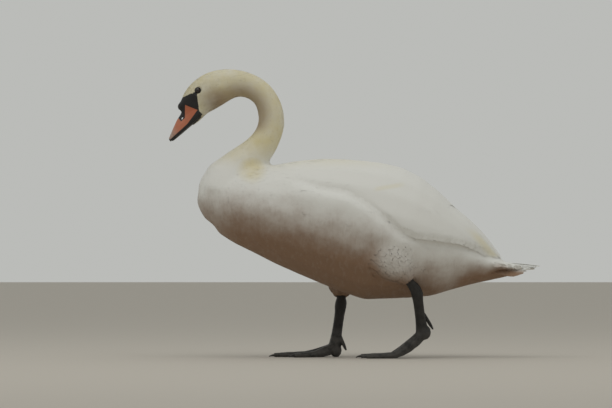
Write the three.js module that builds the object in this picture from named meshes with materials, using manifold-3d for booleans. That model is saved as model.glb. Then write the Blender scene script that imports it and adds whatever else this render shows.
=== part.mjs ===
// A life-size, still model of a walking mute swan, in millimetres, +Z up.
// The swan faces -X and its left side faces -Y. The origin is on the floor, half way between the tips of
// the bill and the tail. Each named mesh is one part of the body; neighbours keep a hairline gap.
import * as THREE from "three";
import { mergeVertices } from "three/addons/utils/BufferGeometryUtils.js";
import Module from "manifold-3d";

const wasm = await Module();
wasm.setup();

// ---------------------------------------------------------------- driving dimensions
const GAP = 0.3; // hairline between neighbouring parts
const UP = new THREE.Vector3(0, 0, 1);
const SIDE = new THREE.Vector3(0, 1, 0);

const BILL_TIP = [-393.5, 0, 464.4]; // lowest, foremost point of the bill
const HEAD_PITCH = THREE.MathUtils.degToRad(42); // how far the head is bowed below the horizontal

const WING_THICKNESS = 8; // depth of the folded wing over the trunk
const WING_FRONT_X = -112; // where the folded wing comes out of the shoulder feathers
const MANTLE_HALF_WIDTH = 58; // the back between the wings, at WING_FRONT_X
const MANTLE_END_X = 90; // where the wings meet over the back
const WING_MEETING_GAP = 1.2; // half the slit between the two wings behind the mantle

const EYE = { back: 117, up: 41.4, out: 20.6, radius: 6.6 }; // from the bill tip, in the head's own frame
const NOSTRIL = { back: 52, up: 19.6, long: 3, high: 1.7, rise: 0.4 }; // it opens right through the bill
const KNOB = { back: 71, up: 39.5, size: [11.5, 9.5, 9.5] }; // the fleshy knob at the base of the bill

const TOE_RADIUS = 6.6;
const PAD = [13, 11, 16]; // half sizes of the pad behind and under the ball of the foot
const WEB_THICKNESS = 2.6;
const CLAW_LENGTH = 13;

// Both legs: hock is the backward-bending joint, ball the joint that the toes spread from. bare is the share
// of the lower thigh that has no feathers, pad the middle of the pad under the ball, reach how far ahead of
// the ball the toes come down on the floor, and settle how sharply they do so.
const LEGS = {
  left: {
    side: -1,
    hip: [52, -92, 232],
    knee: [88, -98, 200],
    hock: [133, -80, 145],
    ball: [146, -56, 53],
    bare: 0.36,
    pad: [151.5, -57, 55],
    reach: 66,
    settle: 1.3,
    toeIn: 8,
    hallux: { root: [149, -56, 94], tip: [168.5, -51, 63] },
  },
  right: {
    side: 1,
    hip: [-12, 84, 206],
    knee: [-24, 80, 168],
    hock: [-26, 64, 118],
    ball: [-40, 56, 22],
    bare: 0.24,
    pad: [-37.5, 56, 15],
    reach: 60,
    settle: 1.5,
    toeIn: 6,
    hallux: { root: [-31, 55, 48], tip: [-16, 51, 16] },
  },
};
// Toes of one foot: splay in degrees outward from the middle toe, and length without the claw.
const TOES = {
  inner: { splay: -27, length: 104 },
  middle: { splay: 0, length: 130 },
  outer: { splay: 22, length: 122 },
};

// Trunk from the breast to the tail coverts. up, down and wide are half sizes of the section.
const TRUNK = [
  { at: [-306, 0, 346.5], up: 46, down: 43, wide: 50 },
  { at: [-280, 0, 340], up: 65, down: 62, wide: 71 },
  { at: [-253, 0, 332], up: 78, down: 80, wide: 88 },
  { at: [-197, 0, 321], up: 93, down: 96, wide: 112 },
  { at: [-132, 0, 307], up: 120, down: 113, wide: 128 },
  { at: [-68, 0, 292], up: 139, down: 124, wide: 136 },
  { at: [-3, 0, 276], up: 148, down: 135, wide: 139 },
  { at: [61, 0, 261], up: 141, down: 140, wide: 135 },
  { at: [126, 0, 246], up: 116, down: 120, wide: 120 },
  { at: [186, 0, 231], up: 76, down: 104, wide: 98 },
  { at: [238, 0, 215], up: 42, down: 70, wide: 72 },
  { at: [283, 0, 201], up: 22, down: 40, wide: 48 },
  { at: [322, 0, 193], up: 13, down: 21, wide: 30 },
  { at: [352, 0, 188.5], up: 7, down: 10, wide: 20 },
];
// The outer surface of the two folded wings together, from the shoulders to the tips of the primaries.
const WINGS = [
  { at: [-197, 0, 321], up: 90, down: 96, wide: 106 },
  { at: [-132, 0, 307], up: 121, down: 113, wide: 126 },
  { at: [-68, 0, 292], up: 143, down: 124, wide: 135 },
  { at: [-3, 0, 276], up: 153, down: 133, wide: 138 },
  { at: [61, 0, 261], up: 154, down: 139, wide: 139 },
  { at: [126, 0, 246], up: 136.5, down: 117, wide: 132 },
  { at: [186, 0, 231], up: 101, down: 100, wide: 111 },
  { at: [238, 0, 215], up: 75, down: 68, wide: 82 },
  { at: [283, 0, 201], up: 48, down: 40, wide: 48 },
  { at: [322, 0, 192], up: 18, down: 18, wide: 18 },
];
// Lower edge of the folded wing in side view, from the shoulder down to the tips, as [x, z].
const WING_EDGE = [
  [WING_FRONT_X, 377],
  [-68, 363],
  [-15, 353],
  [34, 323],
  [71, 293],
  [99, 269],
  [132, 257],
  [165, 253.5],
  [211, 247.5],
  [232, 244.5],
  [253, 236.5],
  [272, 228],
  [295, 217],
];
const WING_TIP = [319, 216];

const TAIL = [
  { at: [262, 0, 209], up: 13, down: 14, wide: 46 },
  { at: [305, 0, 200], up: 9, down: 11, wide: 50 },
  { at: [345, 0, 195], up: 6, down: 9, wide: 43 },
  { at: [376, 0, 192.5], up: 3.5, down: 6, wide: 26 },
];
const TAIL_POINT = 20; // length of the rounded end of the tail

// Head and neck in one run, from the bill's base over the crown and down to inside the breast.
// back is the half size towards the crown and nape, front towards the chin and throat.
const HEAD_AND_NECK = [
  { at: [-354, 0, 536], up: 23, down: 29, wide: 17 },
  { at: [-339, 0, 553], up: 31.5, down: 37, wide: 22 },
  { at: [-320, 0, 567], up: 36, down: 40, wide: 26 },
  { at: [-300, 0, 578], up: 37, down: 39.5, wide: 28.5 },
  { at: [-278, 0, 587], up: 33.5, down: 36, wide: 28.5 },
  { at: [-257, 0, 591], up: 28.5, down: 32.4, wide: 26 },
  { at: [-233, 0, 588], up: 26, down: 28, wide: 23.5 },
  { at: [-210, 0, 577], up: 25.8, down: 25.3, wide: 23 },
  { at: [-191, 0, 560], up: 25, down: 25.4, wide: 23 },
  { at: [-180, 0, 536], up: 26.3, down: 26.6, wide: 23.5 },
  { at: [-176, 0, 508], up: 27.7, down: 27.8, wide: 24.5 },
  { at: [-184, 0, 481], up: 30.1, down: 27, wide: 26 },
  { at: [-200, 0, 455], up: 34, down: 29.5, wide: 30 },
  { at: [-220, 0, 430], up: 37.6, down: 37.7, wide: 37 },
  { at: [-239, 0, 405], up: 40, down: 51.3, wide: 47 },
  { at: [-252, 0, 378], up: 44, down: 72, wide: 60 },
  { at: [-258, 0, 350], up: 48, down: 79.5, wide: 72 },
];
// Bill, in the head's own frame: [distance behind the tip, 0, height over the mouth line].
const BILL_UPPER = [
  { at: [6, 0, 1], up: 7.5, down: 4, wide: 11.5 },
  { at: [18, 0, 1], up: 14, down: 6, wide: 16.5 },
  { at: [32, 0, 1], up: 20, down: 8, wide: 16.5 },
  { at: [46, 0, 1], up: 26, down: 8, wide: 15.5 },
  { at: [60, 0, 1], up: 32, down: 8, wide: 16 },
  { at: [74, 0, 1], up: 38, down: 8, wide: 17.5 },
  { at: [89.5, 0, 1], up: 40, down: 8, wide: 18.6 },
];
const BILL_LOWER = [
  { at: [9, 0, -0.5], up: 4, down: 2.6, wide: 9 },
  { at: [26, 0, -0.5], up: 4, down: 3.4, wide: 14 },
  { at: [50, 0, -0.5], up: 4, down: 4, wide: 13.5 },
  { at: [74, 0, -0.5], up: 4, down: 4.8, wide: 15 },
  { at: [90, 0, -0.5], up: 4, down: 5.5, wide: 15.5 },
];
// Feathered chin between the two halves of the lower bill.
const CHIN = [
  { at: [60, 0, -4.2], up: 1.5, down: 2.8, wide: 6 },
  { at: [76, 0, -3.6], up: 3, down: 4, wide: 12 },
  { at: [92, 0, -1.5], up: 7, down: 6, wide: 16 },
  { at: [108, 0, 3], up: 12, down: 8, wide: 19 },
];
// Where the run is parted, as planes through [x, z] that face along the run.
const PARTINGS = {
  nape: { at: [-259, 591], along: [1, 0.05] },
  upper: { at: [-184, 548], along: [0.42, -0.9] },
  lower: { at: [-190, 472], along: [-0.5, -0.87] },
};

// ---------------------------------------------------------------- solids from shapes
// A closed geometry as a manifold-3d solid.
function solidOf(geometry) {
  const bare = new THREE.BufferGeometry();
  bare.setAttribute("position", geometry.getAttribute("position"));
  bare.setIndex(geometry.index);
  const merged = mergeVertices(bare, 1e-3);
  return new wasm.Manifold(
    new wasm.Mesh({
      numProp: 3,
      vertProperties: merged.attributes.position.array,
      triVerts: new Uint32Array(merged.index.array),
    }),
  );
}

// A solid back as a geometry with smooth-shaded vertices.
function geometryOf(solid) {
  const mesh = solid.getMesh();
  const geometry = new THREE.BufferGeometry();
  geometry.setAttribute("position", new THREE.BufferAttribute(new Float32Array(mesh.vertProperties), 3));
  geometry.setIndex(new THREE.BufferAttribute(new Uint32Array(mesh.triVerts), 1));
  geometry.computeVertexNormals();
  return geometry;
}

// The value at t, 0 to 1, of a smooth curve through evenly spaced values.
function smoothValue(values, t) {
  const x = t * (values.length - 1);
  const i = Math.min(Math.floor(x), values.length - 2);
  const f = x - i;
  const [a, b, c, d] = [-1, 0, 1, 2].map((k) => values[THREE.MathUtils.clamp(i + k, 0, values.length - 1)]);
  return b + 0.5 * f * (c - a + f * (2 * a - 5 * b + 4 * c - d + f * (3 * (b - c) + d - a)));
}

// A closed body through stations. Each section is a rounded outline with half sizes up, down and wide;
// square and keel shape the upper and lower half: 2 for an ellipse, less for a ridge and more for a box.
// nose and end are the depths of the rounded ends, and grow makes the whole body larger all round.
function loft(stations, form) {
  const { rings, around, square = 2, keel = square, nose = 0, end = 0, grow = 0, across = SIDE } = form;
  const path = new THREE.CatmullRomCurve3(
    stations.map((s) => new THREE.Vector3(...s.at)),
    false,
    "catmullrom",
    0.5,
  );
  const half = (key, t) => smoothValue(stations.map((s) => s[key]), t) + grow;
  const capSteps = 3; // rings in a rounded end
  const vertices = [];
  const section = (t, scale, shift) => {
    const along = path.getTangent(t);
    const up = along.clone().cross(across).normalize();
    const side = up.clone().cross(along).normalize();
    const centre = path.getPoint(t).addScaledVector(along, shift);
    for (let k = 0; k < around; k++) {
      const angle = (2 * Math.PI * k) / around;
      const power = 2 / (Math.sin(angle) > 0 ? square : keel);
      const bend = (v) => Math.sign(v) * Math.abs(v) ** power;
      const rise = bend(Math.sin(angle)) * half(Math.sin(angle) > 0 ? "up" : "down", t) * scale;
      const point = centre
        .clone()
        .addScaledVector(side, bend(Math.cos(angle)) * half("wide", t) * scale)
        .addScaledVector(up, rise);
      vertices.push(...point.toArray());
    }
  };
  const pole = (t, shift) => {
    vertices.push(...path.getPoint(t).addScaledVector(path.getTangent(t), shift).toArray());
    return vertices.length / 3 - 1;
  };
  const cap = (t, depth, way) => {
    for (let j = 1; j < capSteps; j++) {
      const turn = ((way < 0 ? j : capSteps - j) / capSteps) * (Math.PI / 2);
      section(t, Math.sin(turn), way * depth * Math.cos(turn));
    }
  };
  if (nose) cap(0, nose + grow, -1);
  for (let i = 0; i <= rings; i++) section(i / rings, 1, 0);
  if (end) cap(1, end + grow, 1);
  const ringCount = vertices.length / 3 / around;
  const first = pole(0, nose ? -(nose + grow) : 0);
  const last = pole(1, end ? end + grow : 0);
  const faces = [];
  for (let k = 0; k < around; k++) {
    const next = (k + 1) % around;
    for (let i = 0; i < ringCount - 1; i++) {
      const a = i * around;
      const b = a + around;
      faces.push(a + k, a + next, b + k, a + next, b + next, b + k);
    }
    const top = (ringCount - 1) * around;
    faces.push(first, next, k, last, top + k, top + next);
  }
  const geometry = new THREE.BufferGeometry();
  geometry.setAttribute("position", new THREE.Float32BufferAttribute(vertices, 3));
  geometry.setIndex(faces);
  return geometry;
}

// An outline of [a, b] points, extruded from low to high along the axis that it leaves out.
function prism(points, plane, low, high) {
  const shape = new THREE.Shape(points.map(([a, b]) => new THREE.Vector2(a, b)));
  const geometry = new THREE.ExtrudeGeometry(shape, { depth: high - low, bevelEnabled: false });
  if (plane === "xz") return geometry.rotateX(Math.PI / 2).translate(0, high, 0);
  return geometry.translate(0, 0, low);
}

function box(low, high) {
  const size = high.map((h, i) => h - low[i]);
  return new THREE.BoxGeometry(...size).translate(...low.map((l, i) => l + size[i] / 2));
}

// A thin closed sheet: place(u, v) gives its middle surface, and it is thick along Z.
function sheet(place, across, along, thickness) {
  const vertices = [];
  const row = along + 1;
  const layer = (across + 1) * row;
  for (const lift of [thickness / 2, -thickness / 2])
    for (let i = 0; i <= across; i++)
      for (let j = 0; j <= along; j++) {
        const p = place(i / across, j / along);
        vertices.push(p.x, p.y, p.z + lift);
      }
  const faces = [];
  const quad = (a, b, c, d) => faces.push(a, b, c, a, c, d);
  for (let i = 0; i < across; i++)
    for (let j = 0; j < along; j++) {
      const a = i * row + j;
      quad(a, a + row, a + row + 1, a + 1);
      quad(layer + a, layer + a + 1, layer + a + row + 1, layer + a + row);
    }
  const wall = (a, b) => quad(a, b, layer + b, layer + a);
  for (let i = 0; i < across; i++) {
    wall((i + 1) * row, i * row);
    wall(i * row + along, (i + 1) * row + along);
  }
  for (let j = 0; j < along; j++) {
    wall(j, j + 1);
    wall(across * row + j + 1, across * row + j);
  }
  const geometry = new THREE.BufferGeometry();
  geometry.setAttribute("position", new THREE.Float32BufferAttribute(vertices, 3));
  geometry.setIndex(faces);
  const turned = solidOf(geometry).volume() < 0;
  if (turned) {
    for (let i = 0; i < faces.length; i += 3) [faces[i + 1], faces[i + 2]] = [faces[i + 2], faces[i + 1]];
  }
  geometry.setIndex(faces);
  return geometry;
}

// ---------------------------------------------------------------- trunk, wings and tail
const trunkShape = (grow) =>
  loft(TRUNK, { rings: 17, around: 20, square: 2.12, keel: 1.8, nose: 29, end: 10, grow });
const trunkFull = solidOf(trunkShape(0));
const wingBed = solidOf(trunkShape(-WING_THICKNESS));
const wingShape = (grow) => loft(WINGS, { rings: 15, around: 20, grow });

// The space of both folded wings, gap millimetres larger than the wings themselves.
function wingSpace(gap) {
  const high = 500;
  const edge = new THREE.SplineCurve(WING_EDGE.map(([x, z]) => new THREE.Vector2(x - gap, z - gap)));
  const front = WING_FRONT_X - gap;
  const side = [
    [front, high],
    ...edge.getPoints(13).map((p) => [p.x, p.y]),
    [WING_TIP[0] + gap, WING_TIP[1] - gap],
    [WING_TIP[0] + gap, high],
  ];
  const mantle = [
    [front - 1, -(MANTLE_HALF_WIDTH - gap)],
    [MANTLE_END_X, -(WING_MEETING_GAP - gap)],
    [WING_TIP[0] + 40, -(WING_MEETING_GAP - gap)],
    [WING_TIP[0] + 40, WING_MEETING_GAP - gap],
    [MANTLE_END_X, WING_MEETING_GAP - gap],
    [front - 1, MANTLE_HALF_WIDTH - gap],
  ];
  const whole = solidOf(prism(side, "xz", -200, 200));
  return whole.subtract(solidOf(prism(mantle, "xy", 0, high)));
}

const wingBoth = solidOf(wingShape(0))
  .intersect(wingSpace(0))
  .subtract(solidOf(trunkShape(GAP - WING_THICKNESS)));
const wings = {
  wing_left: wingBoth.intersect(solidOf(box([-500, -300, -10], [500, 0, 600]))),
  wing_right: wingBoth.intersect(solidOf(box([-500, 0, -10], [500, 300, 600]))),
};
const trunkBody = trunkFull.subtract(wingSpace(GAP).subtract(wingBed));
const trunkCutter = solidOf(trunkShape(GAP));
const wingCutter = solidOf(wingShape(GAP)).intersect(wingSpace(GAP));

const tail = solidOf(loft(TAIL, { rings: 5, around: 14, end: TAIL_POINT }))
  .subtract(trunkCutter)
  .subtract(wingCutter);

// ---------------------------------------------------------------- head and neck
const headAndNeck = (grow) =>
  solidOf(loft(HEAD_AND_NECK, { rings: 25, around: 14, square: 2.1, nose: 16, grow }));

// The half space ahead of a parting plane (towards the bill), moved back by gap.
function before(parting, gap) {
  const along = new THREE.Vector3(parting.along[0], 0, parting.along[1]).normalize();
  const reach = 230; // enough for one stretch, and short of the next bend
  const slab = new THREE.BoxGeometry(reach, reach, reach).translate(-reach / 2 - gap, 0, 0);
  const angle = Math.atan2(-along.z, along.x);
  return solidOf(slab.rotateY(angle).translate(parting.at[0], 0, parting.at[1]));
}
const run = headAndNeck(0);
const pastNape = run.subtract(before(PARTINGS.nape, 0));
const pastUpper = pastNape.subtract(before(PARTINGS.upper, 0));
const necks = {
  neck_upper: pastNape.intersect(before(PARTINGS.upper, GAP)),
  neck_middle: pastUpper.intersect(before(PARTINGS.lower, GAP)),
  neck_lower: pastUpper.subtract(before(PARTINGS.lower, 0)).subtract(trunkCutter),
};

// ---------------------------------------------------------------- bill, knob and eyes, in the head's frame
// The head's frame has its origin at the tip of the bill, +X back along the mouth line and +Z to the crown.
const headFrame = new THREE.Group();
headFrame.position.set(...BILL_TIP);
headFrame.rotation.y = -HEAD_PITCH;
headFrame.updateMatrixWorld(true);

const upperShape = (grow) => loft(BILL_UPPER, { rings: 7, around: 14, square: 1.85, nose: 6, grow });
const lowerShape = (grow) => loft(BILL_LOWER, { rings: 6, around: 12, square: 2.2, nose: 6, grow });
const below = (level) => solidOf(box([-50, -60, level - 60], [160, 60, level]));
const above = (level) => solidOf(box([-50, -60, level], [160, 60, level + 120]));

function ball(centre, radii, grow = 0) {
  const sphere = new THREE.SphereGeometry(1, 12, 8);
  return sphere.scale(...radii.map((r) => r + grow)).translate(...centre);
}
const knobShape = (grow) => ball([KNOB.back, 0, KNOB.up], KNOB.size, grow);
const eyeShape = (side, grow) =>
  ball([EYE.back, side * EYE.out, EYE.up], [EYE.radius, EYE.radius, EYE.radius], grow);

const knob = solidOf(knobShape(0));
const nostril = new THREE.CylinderGeometry(1, 1, 80, 10)
  .scale(NOSTRIL.long, 1, NOSTRIL.high)
  .rotateY(-NOSTRIL.rise)
  .translate(NOSTRIL.back, 0, NOSTRIL.up);
const billUpper = [below(0), solidOf(knobShape(GAP)), solidOf(nostril)].reduce(
  (rest, cutter) => rest.subtract(cutter),
  solidOf(upperShape(0)),
);
const billLower = solidOf(lowerShape(0)).subtract(above(-GAP));

const chin = solidOf(loft(CHIN, { rings: 3, around: 10, nose: 4 }).applyMatrix4(headFrame.matrixWorld));
const inFace = [
  solidOf(upperShape(GAP)).subtract(below(-GAP)),
  solidOf(lowerShape(GAP)).subtract(above(0)),
  solidOf(knobShape(GAP)),
  solidOf(eyeShape(-1, GAP)),
  solidOf(eyeShape(1, GAP)),
].map((solid) => solidOf(geometryOf(solid).applyMatrix4(headFrame.matrixWorld)));
const headFlesh = run.intersect(before(PARTINGS.nape, GAP)).add(chin);
const head = inFace.reduce((rest, cutter) => rest.subtract(cutter), headFlesh);

// ---------------------------------------------------------------- legs
const vector = (at) => new THREE.Vector3(...at);

// The middle line of a toe from the ball of the foot, as points one to each share of its length.
function toePoint(leg, toe, share) {
  const outward = leg.side * THREE.MathUtils.degToRad(toe.splay - leg.toeIn);
  const gone = share * toe.length;
  const left = Math.max(0, 1 - gone / leg.reach);
  const rest = TOE_RADIUS * 0.9;
  const height = rest * (1 - 0.28 * share) + (leg.ball[2] - rest) * left ** leg.settle;
  return new THREE.Vector3(
    leg.ball[0] - gone * Math.cos(outward),
    leg.ball[1] + gone * Math.sin(outward),
    height,
  );
}

function toeSolid(leg, toe) {
  // [share of the length, and half the height over, under and to the sides, as shares of the toe's radius]
  const sections = [
    [0, 1.7, 2.1, 1.6],
    [0.16, 1.7, 2, 1.45],
    [0.33, 1.6, 1.7, 1.25],
    [0.5, 1.25, 1.2, 1],
    [0.66, 1.05, 0.95, 1],
    [0.82, 0.9, 0.8, 0.85],
    [1, 0.75, 0.65, 0.7],
  ];
  const stations = sections.map(([share, over, under, aside]) => ({
    at: toePoint(leg, toe, share).toArray(),
    up: TOE_RADIUS * over,
    down: TOE_RADIUS * under,
    wide: TOE_RADIUS * aside,
  }));
  const forward = toePoint(leg, toe, 1).sub(toePoint(leg, toe, 0)).setZ(0).normalize();
  return solidOf(
    loft(stations, { rings: 6, around: 6, nose: 4, end: 3, across: UP.clone().cross(forward) }),
  );
}

function webSolid(leg, first, second) {
  const place = (u, v) => {
    const free = 0.9 - 0.5 * u * (1 - u); // the hollow front edge of the web
    const share = 0.06 + (free - 0.06) * v;
    const point = toePoint(leg, first, share).lerp(toePoint(leg, second, share), u);
    return point.setZ(Math.max(point.z - 5 * u * (1 - u), WEB_THICKNESS / 2 + 0.4));
  };
  return solidOf(sheet(place, 3, 4, WEB_THICKNESS));
}

function clawShape(leg, toe, grow = 0) {
  const tip = toePoint(leg, toe, 1);
  const forward = tip.clone().sub(toePoint(leg, toe, 0.9)).setZ(0).normalize();
  const size = TOE_RADIUS * 0.5;
  const stations = [-3, 3, CLAW_LENGTH * 0.6, CLAW_LENGTH].map((ahead, i) => {
    const half = size * [0.9, 0.9, 0.62, 0.28][i];
    const at = tip.clone().addScaledVector(forward, ahead);
    return { at: [at.x, at.y, [tip.z, tip.z - 0.2, tip.z - 1.0, 1.3][i]], up: half, down: half, wide: half };
  });
  return loft(stations, { rings: 4, around: 6, grow, across: UP.clone().cross(forward) });
}

function thighShape(leg) {
  const [hip, knee, hock] = [leg.hip, leg.knee, leg.hock].map(vector);
  const end = hock.clone().lerp(knee, leg.bare);
  const stations = [
    { at: hip.toArray(), up: 56, down: 56, wide: 40 },
    { at: hip.clone().lerp(knee, 0.6).toArray(), up: 46, down: 46, wide: 36 },
    { at: knee.clone().lerp(end, 0.3).toArray(), up: 33, down: 33, wide: 28 },
    { at: knee.clone().lerp(end, 0.7).toArray(), up: 22, down: 22, wide: 19 },
    { at: end.toArray(), up: 13.5, down: 13.5, wide: 12.5 },
  ];
  return loft(stations, { rings: 6, around: 14, nose: 20, end: 3 });
}

function shankShape(leg, grow = 0) {
  const [hock, toeJoint] = [leg.hock, leg.ball].map(vector);
  const thigh = (share) => hock.clone().lerp(vector(leg.knee), share);
  const shank = (share) => hock.clone().lerp(toeJoint, share);
  const stations = [
    [thigh(leg.bare + 0.14), 9, 7],
    [thigh(leg.bare * 0.5), 10.5, 8],
    [shank(0.03), 13, 9.5],
    [shank(0.26), 11.2, 7.5],
    [shank(0.55), 11, 7],
    [shank(0.8), 12.2, 8.2],
    [shank(1), 14.6, 9.8],
  ].map(([at, depth, wide]) => ({ at: at.toArray(), up: depth, down: depth, wide }));
  return loft(stations, { rings: 8, around: 8, nose: 3, end: 8, grow });
}

function halluxShape(leg) {
  const [root, tip] = [leg.hallux.root, leg.hallux.tip].map(vector);
  const stations = [0, 0.4, 0.75, 1].map((share, i) => {
    const size = [5.2, 4.6, 3.9, 2.2][i];
    return { at: root.clone().lerp(tip, share).toArray(), up: size, down: size, wide: size };
  });
  return loft(stations, { rings: 3, around: 6, nose: 2, end: 2 });
}

// Every part of one leg, as { name: solid }.
function legSolids(name, leg) {
  const floor = solidOf(box([-400, -200, -60], [400, 200, 0]));
  const thigh = solidOf(thighShape(leg)).subtract(trunkCutter).subtract(solidOf(shankShape(leg, GAP)));
  const toes = Object.values(TOES).map((toe) => toeSolid(leg, toe));
  const webs = [webSolid(leg, TOES.inner, TOES.middle), webSolid(leg, TOES.middle, TOES.outer)];
  const claws = Object.keys(TOES).map((toe) => [`claw_${toe}_${name}`, solidOf(clawShape(leg, TOES[toe]))]);
  const clawCutters = Object.values(TOES).map((toe) => solidOf(clawShape(leg, toe, GAP)));
  const pad = solidOf(ball(leg.pad, PAD));
  const whole = [...toes, ...webs, pad].reduce((sum, piece) => sum.add(piece));
  const cutters = [...clawCutters, floor, solidOf(shankShape(leg, GAP))];
  const foot = cutters.reduce((rest, cutter) => rest.subtract(cutter), whole);
  const shank = solidOf(shankShape(leg)).subtract(floor).subtract(trunkCutter);
  const hallux = solidOf(halluxShape(leg)).subtract(floor).subtract(solidOf(shankShape(leg, GAP)));
  return Object.fromEntries([
    [`thigh_${name}`, thigh],
    [`shank_${name}`, shank],
    [`foot_${name}`, foot],
    [`hind_toe_${name}`, hallux],
    ...claws.map(([key, solid]) => [key, solid.subtract(floor)]),
  ]);
}

// ---------------------------------------------------------------- materials and the finished group
const finish = (color, roughness) => new THREE.MeshStandardMaterial({ color, roughness, metalness: 0 });
const FINISHES = {
  plumage: finish(0xe9e6dc, 0.85),
  bill: finish(0xc9623c, 0.45),
  black: finish(0x161514, 0.5),
  eye: finish(0x1a0f0a, 0.08),
  leg: finish(0x2b2a29, 0.6),
};

function named(name, solid, material) {
  const mesh = new THREE.Mesh(geometryOf(solid), material);
  mesh.name = name;
  return mesh;
}

const swan = new THREE.Group();
swan.add(named("trunk", trunkBody, FINISHES.plumage));
swan.add(named("tail", tail, FINISHES.plumage));
for (const [name, solid] of Object.entries({ ...wings, ...necks })) {
  swan.add(named(name, solid, FINISHES.plumage));
}
swan.add(named("head", head, FINISHES.plumage));
headFrame.add(
  named("bill_upper", billUpper, FINISHES.bill),
  named("bill_lower", billLower, FINISHES.black),
  named("bill_knob", knob, FINISHES.black),
  named("eye_left", solidOf(eyeShape(-1, 0)), FINISHES.eye),
  named("eye_right", solidOf(eyeShape(1, 0)), FINISHES.eye),
);
swan.add(headFrame);

for (const [name, leg] of Object.entries(LEGS)) {
  const legGroup = new THREE.Group();
  for (const [part, solid] of Object.entries(legSolids(name, leg))) {
    const isThigh = part.startsWith("thigh");
    const isClaw = part.startsWith("claw");
    legGroup.add(named(part, solid, isThigh ? FINISHES.plumage : isClaw ? FINISHES.black : FINISHES.leg));
  }
  swan.add(legGroup);
}

export default swan;
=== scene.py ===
# %% [markdown]
# # A walking mute swan
#
# This lesson dresses a solid swan in skin and feathers. The solid, called the frame, has the right size and
# outline but no surface detail. Everything here is built around it, in metres, with +Z up. The swan faces -X,
# and its left side faces -Y.
#
# The plan is the one a taxidermist follows: a smooth form first, then the skin over it, then the feathers in
# their tracts, and last the bare parts, which are the bill, the eyes and the legs.

import math

import bmesh
import bpy
import numpy as np
from mathutils.bvhtree import BVHTree
from mathutils.kdtree import KDTree
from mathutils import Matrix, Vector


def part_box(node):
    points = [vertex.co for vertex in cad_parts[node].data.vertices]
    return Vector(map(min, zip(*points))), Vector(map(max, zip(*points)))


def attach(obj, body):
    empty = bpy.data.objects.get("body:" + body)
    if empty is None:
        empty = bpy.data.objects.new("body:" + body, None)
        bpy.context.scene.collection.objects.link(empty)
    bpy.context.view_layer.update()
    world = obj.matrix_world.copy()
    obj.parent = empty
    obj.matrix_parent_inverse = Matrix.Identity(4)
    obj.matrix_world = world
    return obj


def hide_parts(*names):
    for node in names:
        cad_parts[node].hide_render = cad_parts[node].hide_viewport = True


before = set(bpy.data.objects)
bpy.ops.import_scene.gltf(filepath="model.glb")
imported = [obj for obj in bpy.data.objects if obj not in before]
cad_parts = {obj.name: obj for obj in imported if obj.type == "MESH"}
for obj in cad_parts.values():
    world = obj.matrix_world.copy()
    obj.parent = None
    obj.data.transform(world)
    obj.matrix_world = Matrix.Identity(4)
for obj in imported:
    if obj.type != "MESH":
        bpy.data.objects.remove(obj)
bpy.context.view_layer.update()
MM = 0.001
print("nodes in the frame:", len(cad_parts))

# %% [markdown]
# ## Camera, floor and light
#
# A bird this size looks natural from far away and low down, through a long lens, so that the near and the far
# leg have almost the same size. The camera could be placed by eye, but numbers are easier to keep: it stands
# 8 m to the swan's left, a little over knee height, and looks very slightly up.
#
# White feathers need soft light, or they burn out on top. One large panel hangs above, the pale surroundings
# fill the shadows, and the floor throws a little warmth up under the belly. The camera comes first. The floor
# and the light follow once there is a way to write finishes.

# %% Camera
CAMERA_PLACE = (-0.1021, -8.0, 0.205)
CAMERA_AIM = (-0.1021, 0.0, 0.330)
LENS_MM = 218.9
SENSOR_MM = 36


def placed(name, data):
    """A new object in the scene around data, which is a mesh, a lamp's or a camera's."""
    made = bpy.data.objects.new(name, data)
    bpy.context.scene.collection.objects.link(made)
    return made


camera_data = bpy.data.cameras.new("camera")
camera_data.lens = LENS_MM
camera_data.sensor_width = SENSOR_MM
camera = placed("camera", camera_data)
camera.location = CAMERA_PLACE
rise = math.atan2(CAMERA_AIM[2] - CAMERA_PLACE[2], CAMERA_AIM[1] - CAMERA_PLACE[1])
camera.rotation_euler = (math.pi / 2 + rise, 0, 0)
bpy.context.scene.camera = camera
bpy.context.scene.view_settings.view_transform = "Standard"
print("the camera looks up by", round(math.degrees(rise), 2), "degrees")


# %% [markdown]
# ## A small language for finishes
#
# A material in Blender is a web of nodes. Wiring each node by hand hides the idea behind the wires, so this
# lesson writes finishes as sums. `Wire` stands for one output of a node. Adding or multiplying wires adds the
# Math nodes, and `Finish.node` makes any other kind of node.


# %% Wires
class Wire:
    """One output socket in a finish, which can be used in sums as a number can."""

    def __init__(self, finish, socket):
        self.finish = finish
        self.socket = socket

    def math(self, operation, *others):
        return self.finish.node("ShaderNodeMath", {"operation": operation}, [self, *others])

    def __add__(self, other):
        return self.math("ADD", other)

    __radd__ = __add__

    def __mul__(self, other):
        return self.math("MULTIPLY", other)

    __rmul__ = __mul__

    def __sub__(self, other):
        return self.math("SUBTRACT", other)

    def __rsub__(self, other):
        return (self * -1.0) + other

    def __truediv__(self, other):
        return self.math("DIVIDE", other)

    def __pow__(self, other):
        return self.math("POWER", other)

    def band(self, low, high):
        """0 at low, 1 at high, and a smooth step between them."""
        names = {"Value": self, "From Min": low, "From Max": high}
        return self.finish.node("ShaderNodeMapRange", {"interpolation_type": "SMOOTHSTEP"}, names)


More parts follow.
